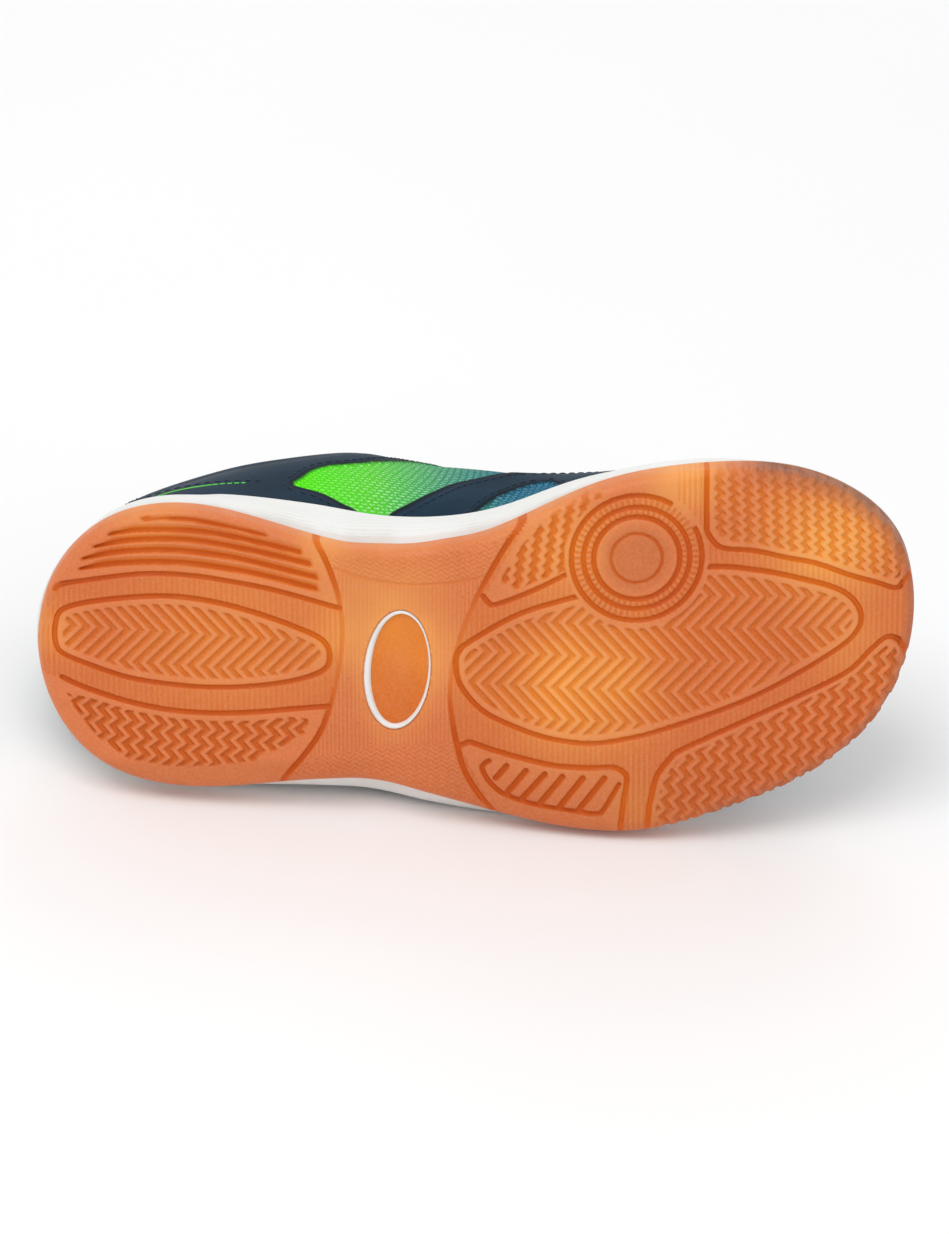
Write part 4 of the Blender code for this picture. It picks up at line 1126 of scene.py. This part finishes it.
def midsole(material):
    """The foam between outsole and upper, with fine lines moulded along its waist."""
    numbers = even_numbers(MIDSOLE_COLUMNS)
    edge, outward = edge_frame(numbers)
    flare, rim = sole_at(numbers)[:, 2], sole_at(numbers)[:, 3]
    inset = rib_at(numbers)[:, 0]
    low = bottom_height(edge[:, 0], edge[:, 1]) + rim + GAP
    inside = -RIM_WALL - GAP
    knots = [0.0, 0.32, 0.66, 0.94, 1.0]
    toe = 1.1 * smoothstep(7.9, 8.8, numbers) * (1.0 - smoothstep(15.0, 16.2, numbers))
    swell = 1.5 * np.exp(-((numbers - 6.6) / 0.75) ** 2)
    swell = swell + 0.9 * smoothstep(3.15, 3.5, numbers) * (1.0 - smoothstep(4.2, 4.9, numbers))
    behind = np.where(numbers > HALF, numbers - ROWS_ROUND, numbers)
    tuck = 1.8 * np.exp(-((behind - 1.5) / 1.1) ** 2)
    swell = swell - tuck
    wall = spline(knots, [0.5 * flare - 0.2 - toe - 0.6 * tuck, flare - 0.1 - toe - tuck,
                          0.5 * (flare + 1.2 - inset) + 0.7 * swell,
                          1.0 - inset + swell, 0.5 - inset + swell])
    waist = moulded_lines_share(numbers)
    loops, grime = [], []

    def add(outset, height, dirt):
        level = edge + outward * np.reshape(outset, (-1, 1))
        top = midsole_top_at(level[:, 0])
        loops.append(np.column_stack((level, height(level, top))))
        grime.append(np.broadcast_to(dirt, numbers.shape))

    def plate(level, top):
        return bottom_height(level[:, 0], level[:, 1]) + PLATE + GAP

    add(np.full(len(numbers), inside), plate, 0.0)
    add(np.full(len(numbers), inside), lambda level, top: low, 0.0)
    for share in np.linspace(0.0, 1.0, MIDSOLE_ROWS):
        line = 0.5 - 0.5 * math.cos(2 * math.pi * share * MIDSOLE_LINES)
        dent = 0.32 * line ** 4 * waist * (smoothstep(0.08, 0.16, share) - smoothstep(0.86, 0.94, share))
        soil = 0.35 * (1 - smoothstep(0.0, 0.25, share)) + 0.25 * smoothstep(0.9, 1.0, share)
        soil = soil + 0.5 * line ** 4 * waist
        add(wall(share) - dent, lambda level, top: low + share * (top - low), soil)
    add(-inset - 1.0, lambda level, top: top - 0.05, 0.1)
    return stacked("midsole", loops, lambda x, y: bottom_height(x, y) + PLATE + GAP,
                   lambda x, y: midsole_top_at(x), material, fields={"grime": grime})


def moulded_lines_share(numbers):
    """1 along the waist on both sides, 0 at heel and toe."""
    row = np.minimum(numbers, ROWS_ROUND - numbers)
    return smoothstep(3.2, 4.2, row) * (1.0 - smoothstep(6.4, 7.6, row))


def insole(material):
    """The footbed: a rounded edge, a shallow heel cup and a slight rise under the arch."""
    numbers = even_numbers(240)
    edge, outward = edge_frame(numbers)
    inset = rib_at(numbers)[:, 0] + WALL + 0.6
    loops = []
    for inner, above in ((0.0, GAP), (0.0, 2.0), (0.15, 2.6), (0.5, 3.0), (1.1, INSOLE_THICKNESS)):
        level = edge - outward * (inset + inner)[:, None]
        loops.append(np.column_stack((level, midsole_top_at(level[:, 0]) + above)))

    def top(x, y):
        cup = 0.5 * np.exp(-((x - 32.0) / 26.0) ** 2 - (y / 20.0) ** 2)
        arch = 0.7 * np.exp(-((x - 86.0) / 24.0) ** 2 - ((y + 24.0) / 12.0) ** 2)
        return midsole_top_at(x) + INSOLE_THICKNESS - cup + arch

    return stacked("insole", loops, lambda x, y: midsole_top_at(x) + GAP, top, material, columns=70)


def wall_lengths():
    """How far round the wall each row number is, and how long the rib is there, in millimetres."""
    numbers = np.linspace(0.0, HALF + 1.0, 521)
    along = run_lengths(rib_points(numbers, 0.3))
    ribs = rib_points(numbers[:, None], np.linspace(0.0, 1.0, 41)[None, :])
    up = np.linalg.norm(np.diff(ribs, axis=1), axis=-1).sum(axis=1)
    return numbers, along, up


WALL_NUMBERS, WALL_ALONG, WALL_UP = wall_lengths()


def on_wall(number, share):
    """Row numbers and shares as millimetres along and up the wall. Both sides count from the heel."""
    row = np.minimum(number, ROWS_ROUND - number)
    return np.interp(row, WALL_NUMBERS, WALL_ALONG), share * np.interp(row, WALL_NUMBERS, WALL_UP)


def wall_outline(panel, closed=True, steps=8):
    """A panel's outline, drawn in row numbers and shares, as a rounded line in millimetres on the wall."""
    along, up = on_wall(*np.array(panel).T)
    return rounded(np.column_stack((along, up)), steps, closed)


def from_wall(line):
    """Row numbers and shares of points in millimetres along and up the wall."""
    row = np.interp(line[:, 0], WALL_ALONG, WALL_NUMBERS)
    return row, line[:, 1] / np.interp(row, WALL_NUMBERS, WALL_UP)


def panel_levels(number, share):
    """For each point of the wall: distance outside the knit windows, lift of the overlays, accent line."""
    along, up = on_wall(number, share)
    outside = np.full(along.shape, 99.0)
    for window in KNIT_WINDOWS:
        outside = np.minimum(outside, signed_to(wall_outline(window), along, up, 12.0))
    lift = OVERLAY * (smoothstep(-0.45, 0.35, outside) - 1.0)
    for panel, extra in ((HEEL_COUNTER, 0.55), (EYESTAY, 0.6), (TOE_CAP, 0.5)):
        edge = signed_to(wall_outline(panel), along, up, 12.0)
        lift = lift + extra * (1.0 - smoothstep(-0.4, 0.35, edge))
    accent = distance_to(wall_outline(ACCENT_LINE, closed=False), along, up)
    return outside, lift, accent, along, up


def crease_depth(number, share):
    """Soft walking creases across the vamp, given in the shoe's own sizes."""
    row = np.where(number > HALF, number - ROWS_ROUND, number)
    depth = np.zeros(np.broadcast(number, share).shape)
    for centre, low, high, slant, width, amount in CREASES:
        across_crease = (np.abs(row) - centre - slant * share) / width
        window = smoothstep(low - 0.1, low + 0.08, share) * (1 - smoothstep(high - 0.08, high + 0.1, share))
        trough = np.exp(-across_crease ** 2) - 0.55 * np.exp(-((np.abs(across_crease) - 1.7) / 0.9) ** 2)
        depth = depth + amount * trough * window
    return depth


def collar_padding(number):
    """1 round the padded collar, 0 along the throat."""
    return 1.0 - smoothstep(4.6, 6.2, np.minimum(number, ROWS_ROUND - number))


def wall_offset(number, share):
    """How far the outside stands off the plain wall: padding, creases, a waist in the heel and a swell."""
    puff = 0.7 * collar_padding(number) * smoothstep(0.72, 0.86, share) * (1 - smoothstep(0.93, 1.02, share))
    behind = np.where(number > HALF, number - ROWS_ROUND, number)
    waist = 2.3 * np.exp(-((behind - 1.2) / 1.1) ** 2) * (1 - smoothstep(0.72, 0.95, share))
    swell = 1.6 * np.exp(-((behind - 6.3) / 0.5) ** 2) * smoothstep(0.2, 0.45, share)
    swell = swell * (1 - smoothstep(0.64, 0.78, share))
    return puff - waist + swell - crease_depth(number, share)


def wall_surface(number, share):
    """Points and normals of the upper's plain outside on a grid of shares by row numbers."""
    points = rib_points(number[None, :], share[:, None])
    return points, ring_normals(points)


def upper_shell(material):
    """The outside of the upper: knit windows with smooth overlays standing proud of them."""
    number = even_numbers(UPPER_COLUMNS)
    share = np.linspace(-0.035, SHELL_TOP, UPPER_ROWS)
    points, normals = wall_surface(number, share)
    grid_number, grid_share = np.broadcast_arrays(number[None, :], share[:, None])
    outside, lift, accent, along, up = panel_levels(grid_number, grid_share)
    offset = lift + wall_offset(grid_number, grid_share)
    points = points + normals * offset[..., None]
    turned_in = points[-1:] - normals[-1:] * (offset[-1:, :, None] + 0.4)
    points = np.concatenate((points, turned_in))

    def extended(values):
        return np.concatenate((values, values[-1:]))

    row = np.minimum(grid_number, ROWS_ROUND - grid_number)
    fields = {"overlay": extended(smoothstep(-0.2, 0.25, outside)), "edge": extended(np.abs(outside)),
              "accent": extended(accent), "forward": extended(points[:-1, :, 0] / SOLE_LENGTH),
              "height": extended(grid_share), "row": extended(row)}
    weave = np.stack((extended(along), extended(up)), axis=-1)
    piece = make_piece("upper_shell", points, grid_faces(len(points), len(number), closed=True), material,
                       fields=fields, weave=weave)
    return piece


def upper_lining(material):
    """The padded lining: it rolls over the collar and throat and runs down inside to the footbed."""
    number = even_numbers(LINING_COLUMNS)
    levels = np.linspace(0.0, 1.0, 61)
    _, wall_normals = wall_surface(number, levels)

    def at(shares):
        nearest = np.clip(np.searchsorted(levels, shares), 0, len(levels) - 1)
        return rib_points(number[None, :], shares[:, None]), wall_normals[nearest]

    inner_share = np.linspace(1.0, 0.0, LINING_ROWS)
    outer, outer_normals = at(np.linspace(0.93, 1.0, 4))
    inner, inner_normals = at(inner_share)
    padding = collar_padding(number)[None, :] * smoothstep(0.55, 0.86, inner_share)[:, None]
    thickness = WALL + (COLLAR_WALL - WALL) * padding
    top, normal = outer[-1], outer_normals[-1]
    rise = unit(outer[-1] - outer[-2])
    radius = thickness[0][:, None] / 2
    centre = top - normal * radius
    roll = []
    for angle in np.linspace(0.0, math.pi, 11)[1:-1]:
        roll.append(centre + radius * 1.06 * (normal * math.cos(angle) + rise * math.sin(angle)))
    sunk = outer - outer_normals * np.linspace(0.5, 0.0, 4)[:, None, None]
    inside = inner - inner_normals * thickness[..., None]
    points = np.concatenate((sunk, np.stack(roll), inside))
    steps = np.linalg.norm(np.diff(points, axis=0), axis=-1)
    up = np.concatenate((np.zeros((1, len(number))), np.cumsum(steps, axis=0)))
    weave = np.stack((np.broadcast_to(run_lengths(top), up.shape), up), axis=-1)
    faces = grid_faces(len(points), len(number), closed=True)
    piece = make_piece("collar_lining", points, faces, material, weave=weave)
    return piece


def refined(rows, row_steps, column_steps):
    """A finer grid of points, smooth through a coarse one both ways."""
    rows = np.asarray(rows)

    def along_first(grid, count):
        gaps = np.linalg.norm(np.diff(grid, axis=0), axis=-1).mean(axis=1)
        knots = np.concatenate(([0.0], np.cumsum(gaps)))
        return spline(knots, grid)(np.linspace(0.0, knots[-1], count))

    fine = along_first(rows, row_steps)
    return np.swapaxes(along_first(np.swapaxes(fine, 0, 1), column_steps), 0, 1)


def tongue(material):
    """A padded tongue under the throat that stands free above the top eyelets."""
    under = 0.78
    depth = -(WALL + GAP + 0.45)
    columns = 12
    rows = []
    for row, low, high in ((9.2, 0.06, 0.94), (8.5, 0.04, 0.96), (7.9, 0.05, 0.95), (7.3, 0.08, 0.92),
                           (6.8, 0.13, 0.87), (6.4, 0.19, 0.81), (6.05, 0.24, 0.76)):
        rows.append([instep(row, under, s, depth) for s in np.linspace(low, high, columns + 1)])
    rows.insert(0, list(np.array(rows[0]) + np.array((9.0, 0.0, -2.0))))
    last = np.array(rows[-1])
    centre = last[columns // 2]
    for share in (0.3, 0.65, 1.0):
        width = 1.0 + 0.28 * share
        move = np.array((-TONGUE_TOP_RUN * share, 0.0, TONGUE_TOP_RISE * share * (0.75 + 0.25 * share)))
        rows.append(list(centre + (last - centre) * np.array((1.0, width, 1.0)) + move))
    sheet = refined(rows, TONGUE_ROWS, TONGUE_COLUMNS)
    normals = grid_normals(sheet)
    if normals[TONGUE_ROWS // 2, TONGUE_COLUMNS // 2, 2] < 0:
        normals = -normals
    u = np.linspace(-1.0, 1.0, TONGUE_COLUMNS)[None, :]
    v = np.linspace(-1.0, 1.0, TONGUE_ROWS)[:, None]
    fullness = np.sqrt(1.0 - np.abs(u) ** 8) * np.sqrt(1.0 - np.abs(v) ** 40)
    seam = 0.35 * np.exp(-((np.abs(u) - 0.86) / 0.025) ** 2) + 0.35 * np.exp(-((v - 0.9) / 0.012) ** 2)
    middle = sheet - normals * TONGUE_THICKNESS / 2
    half = TONGUE_THICKNESS / 2 * fullness
    top = middle + normals * (half - seam * np.minimum(fullness, 1.0))[..., None]
    bottom = middle - normals * half[..., None]
    loops = np.concatenate((top, bottom[:, ::-1]), axis=1)
    along = np.broadcast_to(np.linspace(0.0, 60.0, TONGUE_ROWS)[:, None], fullness.shape)
    across_tongue = np.broadcast_to(np.linspace(0.0, 40.0, TONGUE_COLUMNS)[None, :], fullness.shape)
    weave = np.stack((np.concatenate((across_tongue, across_tongue[:, ::-1]), axis=1),
                      np.concatenate((along, along), axis=1)), axis=-1)
    faces = grid_faces(TONGUE_ROWS, 2 * TONGUE_COLUMNS, closed=True)
    piece = make_piece("tongue", loops, outward_faces(loops, faces), material, weave=weave)
    return piece


def outward_faces(points, faces):
    """The same faces, turned round if the closed piece they make would be inside out."""
    corners = np.asarray(points).reshape(-1, 3)[faces[:, :3]]
    volume = np.einsum("ij,ij->i", corners[:, 0], np.cross(corners[:, 1], corners[:, 2])).sum()
    return faces if volume > 0 else faces[:, ::-1]


def lace_run(first_row, first_share, last_row, last_share, hump):
    """Loops of points of one flat run of lace: out of an eyelet, over the instep and into the next."""
    places, above = [], []
    for t in np.linspace(0.0, 1.0, LACE_STEPS):
        row = first_row + (last_row - first_row) * t
        side = first_share + (last_share - first_share) * t
        end = min(t, 1.0 - t)
        lift = -1.6 + 3.7 * float(smoothstep(0.0, 0.10, end)) - 0.9 * float(smoothstep(0.08, 0.3, end))
        lift += hump * math.exp(-((t - 0.5) / 0.13) ** 2)
        places.append(instep(row, EYELET_REACH, side, lift))
        above.append(instep(row, EYELET_REACH, side, lift + 1.0))
    places, above = np.array(places), np.array(above)
    along = unit(np.gradient(places, axis=0))
    side = unit(np.cross(along, above - places))
    normal = np.cross(side, along)
    ends = np.minimum(np.linspace(0, 1, LACE_STEPS), np.linspace(1, 0, LACE_STEPS))
    width = LACE_WIDTH / 2 * (0.55 + 0.45 * smoothstep(0.02, 0.16, ends))
    angle = np.linspace(0.0, 2 * math.pi, LACE_RING, endpoint=False)
    flat = np.sign(np.cos(angle)) * np.abs(np.cos(angle)) ** 0.55
    thick = np.sign(np.sin(angle)) * np.abs(np.sin(angle)) ** 0.8
    crown = 0.12 * np.cos(angle * 2.0)
    loops = (places[:, None, :] + side[:, None, :] * (flat[None, :] * width[:, None])[..., None]
             + normal[:, None, :] * ((thick - crown + 1.0) * LACE_THICKNESS / 2)[None, :, None])
    weave = np.stack((np.broadcast_to(flat[None, :] * LACE_WIDTH / 2, loops.shape[:2]),
                      np.broadcast_to(run_lengths(places)[:, None], loops.shape[:2])), axis=-1)
    return loops, weave


def joined(name, parts, material, weaves=None):
    """One mesh from several closed tubes of loops."""
    points, faces, start = [], [], 0
    for loops in parts:
        steps, ring = loops.shape[:2]
        first = np.arange(ring)
        last = first + (steps - 1) * ring
        caps = (zipped_loop(first)[:, ::-1], zipped_loop(last))
        body = np.concatenate((grid_faces(steps, ring, closed=True), *caps))
        points.append(loops.reshape(-1, 3))
        faces.append(outward_faces(loops, body) + start)
        start += steps * ring
    weave = None if weaves is None else np.concatenate([w.reshape(-1, 2) for w in weaves])
    return make_piece(name, np.concatenate(points), np.concatenate(faces), material, weave=weave)


def laces(material):
    """One lace: a straight run at the lowest eyelets, then pairs that cross on the way up to the top ones."""
    low, high = EYELET_SIDES
    runs = [lace_run(EYELET_ROWS[-1], low, EYELET_ROWS[-1], high, 0.0)]
    for upper_row, lower_row in zip(EYELET_ROWS, EYELET_ROWS[1:]):
        runs.append(lace_run(lower_row, low, upper_row, high, 0.0))
        runs.append(lace_run(lower_row, high, upper_row, low, 1.6))
    piece = joined("laces", [run[0] for run in runs], material, [run[1] for run in runs])
    return piece


def frame_at(row, share):
    """A point of the eyelet row and the directions across, along and out of the upper there."""
    point = instep(row, EYELET_REACH, share, 0.0)
    out = instep(row, EYELET_REACH, share, 1.0) - point
    along = instep(row + 0.05, EYELET_REACH, share, 0.0) - point
    along = unit(along - out * np.dot(along, out))
    return point, np.cross(out, along), along, out


def eyelets(material):
    """Ten rings pressed into the eyestay, each with a rounded lip and a throat that goes down through it."""
    profile = ((3.3, 0.35), (3.25, 0.75), (2.95, 1.05), (2.5, 1.0), (2.15, 0.6), (2.05, -0.2), (2.05, -1.6))
    angle = np.linspace(0.0, 2 * math.pi, 28, endpoint=False)
    points, faces, start = [], [], 0
    for row in EYELET_ROWS:
        for share in EYELET_SIDES:
            centre, side, along, out = frame_at(row, share)
            loops = []
            for radius, lift in profile:
                circle = np.cos(angle)[:, None] * side + np.sin(angle)[:, None] * along
                loops.append(centre + circle * radius + out * (lift + 0.3))
            loops = np.array(loops)
            faces.append(grid_faces(len(profile), len(angle), closed=True) + start)
            points.append(loops.reshape(-1, 3))
            start += loops.shape[0] * loops.shape[1]
    piece = make_piece("eyelets", np.concatenate(points), np.concatenate(faces), material)
    return piece


def stitch_places(panel, outset, closed):
    """Even places along a line beside a panel's edge, with the direction of the line at each, on the wall."""
    line = wall_outline(panel, closed)
    if closed:
        line = np.concatenate((line, line[:1]))
    lengths = run_lengths(line)
    place = np.arange(0.0, lengths[-1], STITCH_PITCH)

    def at(length):
        return np.column_stack([np.interp(length, lengths, line[:, k]) for k in (0, 1)])

    along = unit(at(place + 0.6) - at(place - 0.6))
    area = np.sum(line[:-1, 0] * line[1:, 1] - line[1:, 0] * line[:-1, 1])
    out = np.column_stack((along[:, 1], -along[:, 0])) * (1.0 if area > 0 or not closed else -1.0)
    return at(place) + out * outset, along


def stitches(material):
    """Thread beside the overlays' edges on both sides, one small rounded bar for each stitch."""
    bars = []
    ring = np.linspace(0.0, 2 * math.pi, 6, endpoint=False)
    stations = ((-1.0, 0.35), (-0.75, 0.85), (0.0, 1.0), (0.75, 0.85), (1.0, 0.35))
    for panel, outset, closed in STITCH_LINES:
        middle, along = stitch_places(panel, outset, closed)
        row, share = from_wall(middle)
        ahead_row, ahead_share = from_wall(middle + along * 0.5)
        keep = (share > 0.015) & (share < SHELL_TOP - 0.01) & (row < HALF)
        for lateral in (False, True):
            number = np.where(lateral, ROWS_ROUND - row, row)[keep]
            ahead_number = np.where(lateral, ROWS_ROUND - ahead_row, ahead_row)[keep]
            point, out = lifted(number, share[keep])
            ahead, _ = lifted(ahead_number, ahead_share[keep])
            forward = unit(ahead - point)
            side = np.cross(out, forward)
            loops = []
            for place, width in stations:
                radius = STITCH_WIDTH / 2 * width
                level = np.cos(ring) * radius
                height = np.sin(ring) * radius + 0.05 - 0.12 * place ** 2
                circle = side[:, None, :] * level[None, :, None] + out[:, None, :] * height[None, :, None]
                loops.append((point + forward * place * STITCH_LENGTH / 2)[:, None, :] + circle)
            bars.append(np.stack(loops, axis=1))
    bars = np.concatenate(bars)
    count, steps, sides = bars.shape[:3]
    one = grid_faces(steps, sides, closed=True)
    faces = (one[None, :, :] + (np.arange(count) * steps * sides)[:, None, None]).reshape(-1, 4)
    piece = make_piece("stitches", bars, faces, material)
    return piece


def lifted(number, share):
    """Points on the finished outside of the upper and its normals there."""
    along = rib_points(number + 0.02, share) - rib_points(number - 0.02, share)
    up = rib_points(number, share + 0.01) - rib_points(number, share - 0.01)
    out = unit(np.cross(along, up))
    lift = panel_levels(number, share)[1] + wall_offset(number, share)
    return rib_points(number, share) + out * lift[:, None], out


def upper_material():
    """Knit windows that fade from green to teal, smooth navy overlays with a fine grain, and a thin line."""
    shader = Shader("upper_fabric", 0.6, specular=0.14)
    holes = shader.bricks(1.7, 1.22, 0.36, 0.6)
    thread = shader.noise(2.2, 2.0, where=shader.weave())
    base = shader.ramp(shader.field("forward"), [
        (0.29, srgb(72, 224, 0)), (0.38, srgb(84, 200, 40)), (0.46, srgb(62, 140, 96)),
        (0.54, srgb(36, 96, 118)), (0.8, srgb(26, 72, 104))])
    pale = shader.ramp(shader.field("forward"), [
        (0.29, srgb(130, 245, 34)), (0.38, srgb(176, 238, 160)), (0.46, srgb(150, 215, 196)),
        (0.54, srgb(96, 160, 190)), (0.8, srgb(70, 128, 160))])
    dots = shader.span(holes, 0.55, 0.15)
    flecks = shader.math("MULTIPLY", dots, shader.span(thread, 0.35, 0.65))
    cloth = shader.mix(flecks, base, pale)
    grain = shader.cells(900.0)
    patches = shader.span(shader.noise(90.0, 3.0), 0.3, 0.75)
    navy = shader.mix(patches, srgb(14, 39, 56), srgb(22, 50, 70))
    # Darker band along the overlays' edges round the knit windows: their dark cut edge, and painted shadow
    # where the raised edge stands over the knit
    cut = shader.span(shader.field("edge"), 1.7, 0.9)
    navy = shader.tint(navy, cut, 0.75, srgb(9, 13, 18))
    line = shader.span(shader.field("accent"), 0.55, 0.25)
    fade = shader.math("MAXIMUM", shader.span(shader.field("row"), 3.2, 3.5, 1.0, 0.0), dots)
    navy = shader.mix(shader.math("MULTIPLY", line, fade), navy, srgb(92, 226, 30))
    overlay = shader.field("overlay")
    colour = shader.mix(overlay, cloth, navy)
    roughness = shader.span(overlay, 0.0, 1.0, 0.8, 0.56)
    knit_height = shader.math("MULTIPLY", dots, shader.math("SUBTRACT", 1.0, overlay))
    normal = shader.bump(knit_height, 0.5, 0.35)
    normal = shader.bump(shader.math("MULTIPLY", grain, overlay), 0.25, 0.12, normal)
    return shader.finish(colour, roughness, normal)


def textile_material(name, dark, light, width, height, rough):
    """A dense woven or knitted cloth in two close tones."""
    shader = Shader(name, rough, specular=0.3, sheen=0.15)
    yarn = shader.span(shader.bricks(width, height, 0.3 * height, 0.8), 0.8, 0.1)
    worn = shader.span(shader.noise(80.0, 3.0), 0.3, 0.7)
    colour = shader.mix(yarn, dark, light)
    colour = shader.tint(colour, worn, 0.3, dark)
    normal = shader.bump(yarn, 0.6, 0.3)
    return shader.finish(colour, shader.span(worn, 0.0, 1.0, rough - 0.08, rough + 0.08), normal)


def footbed_material():
    """A dark textile footbed with a fine nap, worn a little paler under heel and ball."""
    shader = Shader("footbed_fabric", 0.85, specular=0.2, sheen=0.2)
    nap = shader.noise(1500.0, 2.0)
    worn = shader.span(shader.noise(45.0, 2.0), 0.4, 0.75)
    colour = shader.mix(shader.span(nap, 0.3, 0.7), srgb(34, 40, 52), srgb(56, 64, 78))
    colour = shader.tint(colour, worn, 0.4, srgb(74, 80, 90))
    return shader.finish(colour, shader.span(nap, 0.0, 1.0, 0.75, 0.95), shader.bump(nap, 0.4, 0.3))


def thread_material():
    """Plain thread of the stitches."""
    shader = Shader("thread", 0.6, specular=0.35)
    twist = shader.noise(2500.0, 2.0)
    colour = shader.mix(shader.span(twist, 0.3, 0.7), srgb(14, 24, 36), srgb(34, 52, 72))
    return shader.finish(colour, 0.6, shader.bump(twist, 0.3, 0.1))


def eyelet_material():
    """Painted metal, a little worn on its lip."""
    shader = Shader("eyelet", 0.35, specular=0.5, coat=0.2)
    rubbed = shader.span(shader.noise(500.0, 3.0), 0.55, 0.7)
    colour = shader.mix(rubbed, srgb(22, 34, 48), srgb(52, 66, 82))
    return shader.finish(colour, shader.span(rubbed, 0.0, 1.0, 0.3, 0.5))


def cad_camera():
    """The camera at the photograph's angle to the shoe."""
    tilt = math.radians(CAMERA_TILT)
    back = row_direction((0.0, -math.sin(tilt), -math.cos(tilt)))
    right = row_direction((1.0, 0.0, 0.0))
    up = back.cross(right)
    off_right = (PHOTO_WIDTH / 2 - TARGET_PIXEL[0]) / PIXELS_PER_MM * MM
    off_up = (TARGET_PIXEL[1] - PHOTO_HEIGHT / 2) / PIXELS_PER_MM * MM
    target = Vector(to_row(CAMERA_TARGET)) + right * off_right + up * off_up
    data = bpy.data.cameras.new("camera")
    data.sensor_width = SENSOR
    data.lens = SENSOR * CAMERA_DISTANCE * PIXELS_PER_MM / PHOTO_HEIGHT
    data.clip_start = 0.05
    data.clip_end = 50.0
    camera = bpy.data.objects.new("camera", data)
    turn = Matrix((right, up, back)).transposed()
    camera.matrix_world = Matrix.Translation(target + back * CAMERA_DISTANCE * MM) @ turn.to_4x4()
    bpy.context.scene.collection.objects.link(camera)
    bpy.context.scene.camera = camera


def area_light(name, place, target, size, power):
    """A rectangular lamp aimed at a target."""
    data = bpy.data.lights.new(name, "AREA")
    data.shape = "RECTANGLE"
    data.size, data.size_y = size
    data.energy = power
    light = bpy.data.objects.new(name, data)
    light.location = place
    light.rotation_euler = (Vector(target) - Vector(place)).to_track_quat("-Z", "Y").to_euler()
    bpy.context.scene.collection.objects.link(light)


def floor_material():
    """The pale floor."""
    shader = Shader("floor", 0.75, specular=0.2)
    tone = shader.span(shader.noise(3.0, 2.0), 0.2, 0.8)
    return shader.finish(shader.mix(tone, srgb(250, 250, 250), srgb(247, 247, 247)))


def studio():
    """A pale floor, a large soft light above and in front, and weaker ones to the sides."""
    mesh = bpy.data.meshes.new("floor")
    reach = 6.0
    corners = [(-reach, -reach, 0), (reach, -reach, 0), (reach, reach, 0), (-reach, reach, 0)]
    mesh.from_pydata(corners, [], [(0, 1, 2, 3)])
    mesh.materials.append(floor_material())
    ground = bpy.data.objects.new("floor", mesh)
    bpy.context.scene.collection.objects.link(ground)
    world = bpy.data.worlds.new("studio")
    world.use_nodes = True
    world.node_tree.nodes["Background"].inputs["Color"].default_value = (1.0, 1.0, 1.0, 1.0)
    world.node_tree.nodes["Background"].inputs["Strength"].default_value = 0.68
    bpy.context.scene.world = world
    area_light("key", (-0.35, -0.55, 1.25), (0.0, 0.0, 0.04), (0.9, 0.8), 8.0)
    area_light("fill", (0.9, -0.9, 0.5), (0.0, 0.0, 0.04), (0.8, 0.8), 1.0)
    area_light("back", (0.2, 1.1, 0.9), (0.0, 0.0, 0.04), (0.8, 0.6), 2.5)
    bpy.context.scene.view_settings.view_transform = "Standard"


def main():
    """Make every piece, the studio and the camera."""
    gum = gum_material()
    foam = foam_material()
    outsole(gum)
    oval_ring(foam)
    foam_piece = midsole(foam)
    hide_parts("midsole")
    footbed = insole(footbed_material())
    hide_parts("insole")
    shell = upper_shell(upper_material())
    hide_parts("upper")
    upper_lining(textile_material("lining", srgb(16, 24, 36), srgb(36, 50, 70), 1.6, 1.1, 0.85))
    flap = tongue(textile_material("tongue_fabric", srgb(18, 30, 46), srgb(38, 58, 82), 1.4, 0.95, 0.8))
    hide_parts("tongue")
    cord = laces(textile_material("lace_weave", srgb(20, 34, 52), srgb(48, 72, 100), 0.9, 0.55, 0.75))
    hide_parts("laces")
    eyelets(eyelet_material())
    stitches(thread_material())
    studio()
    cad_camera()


main()
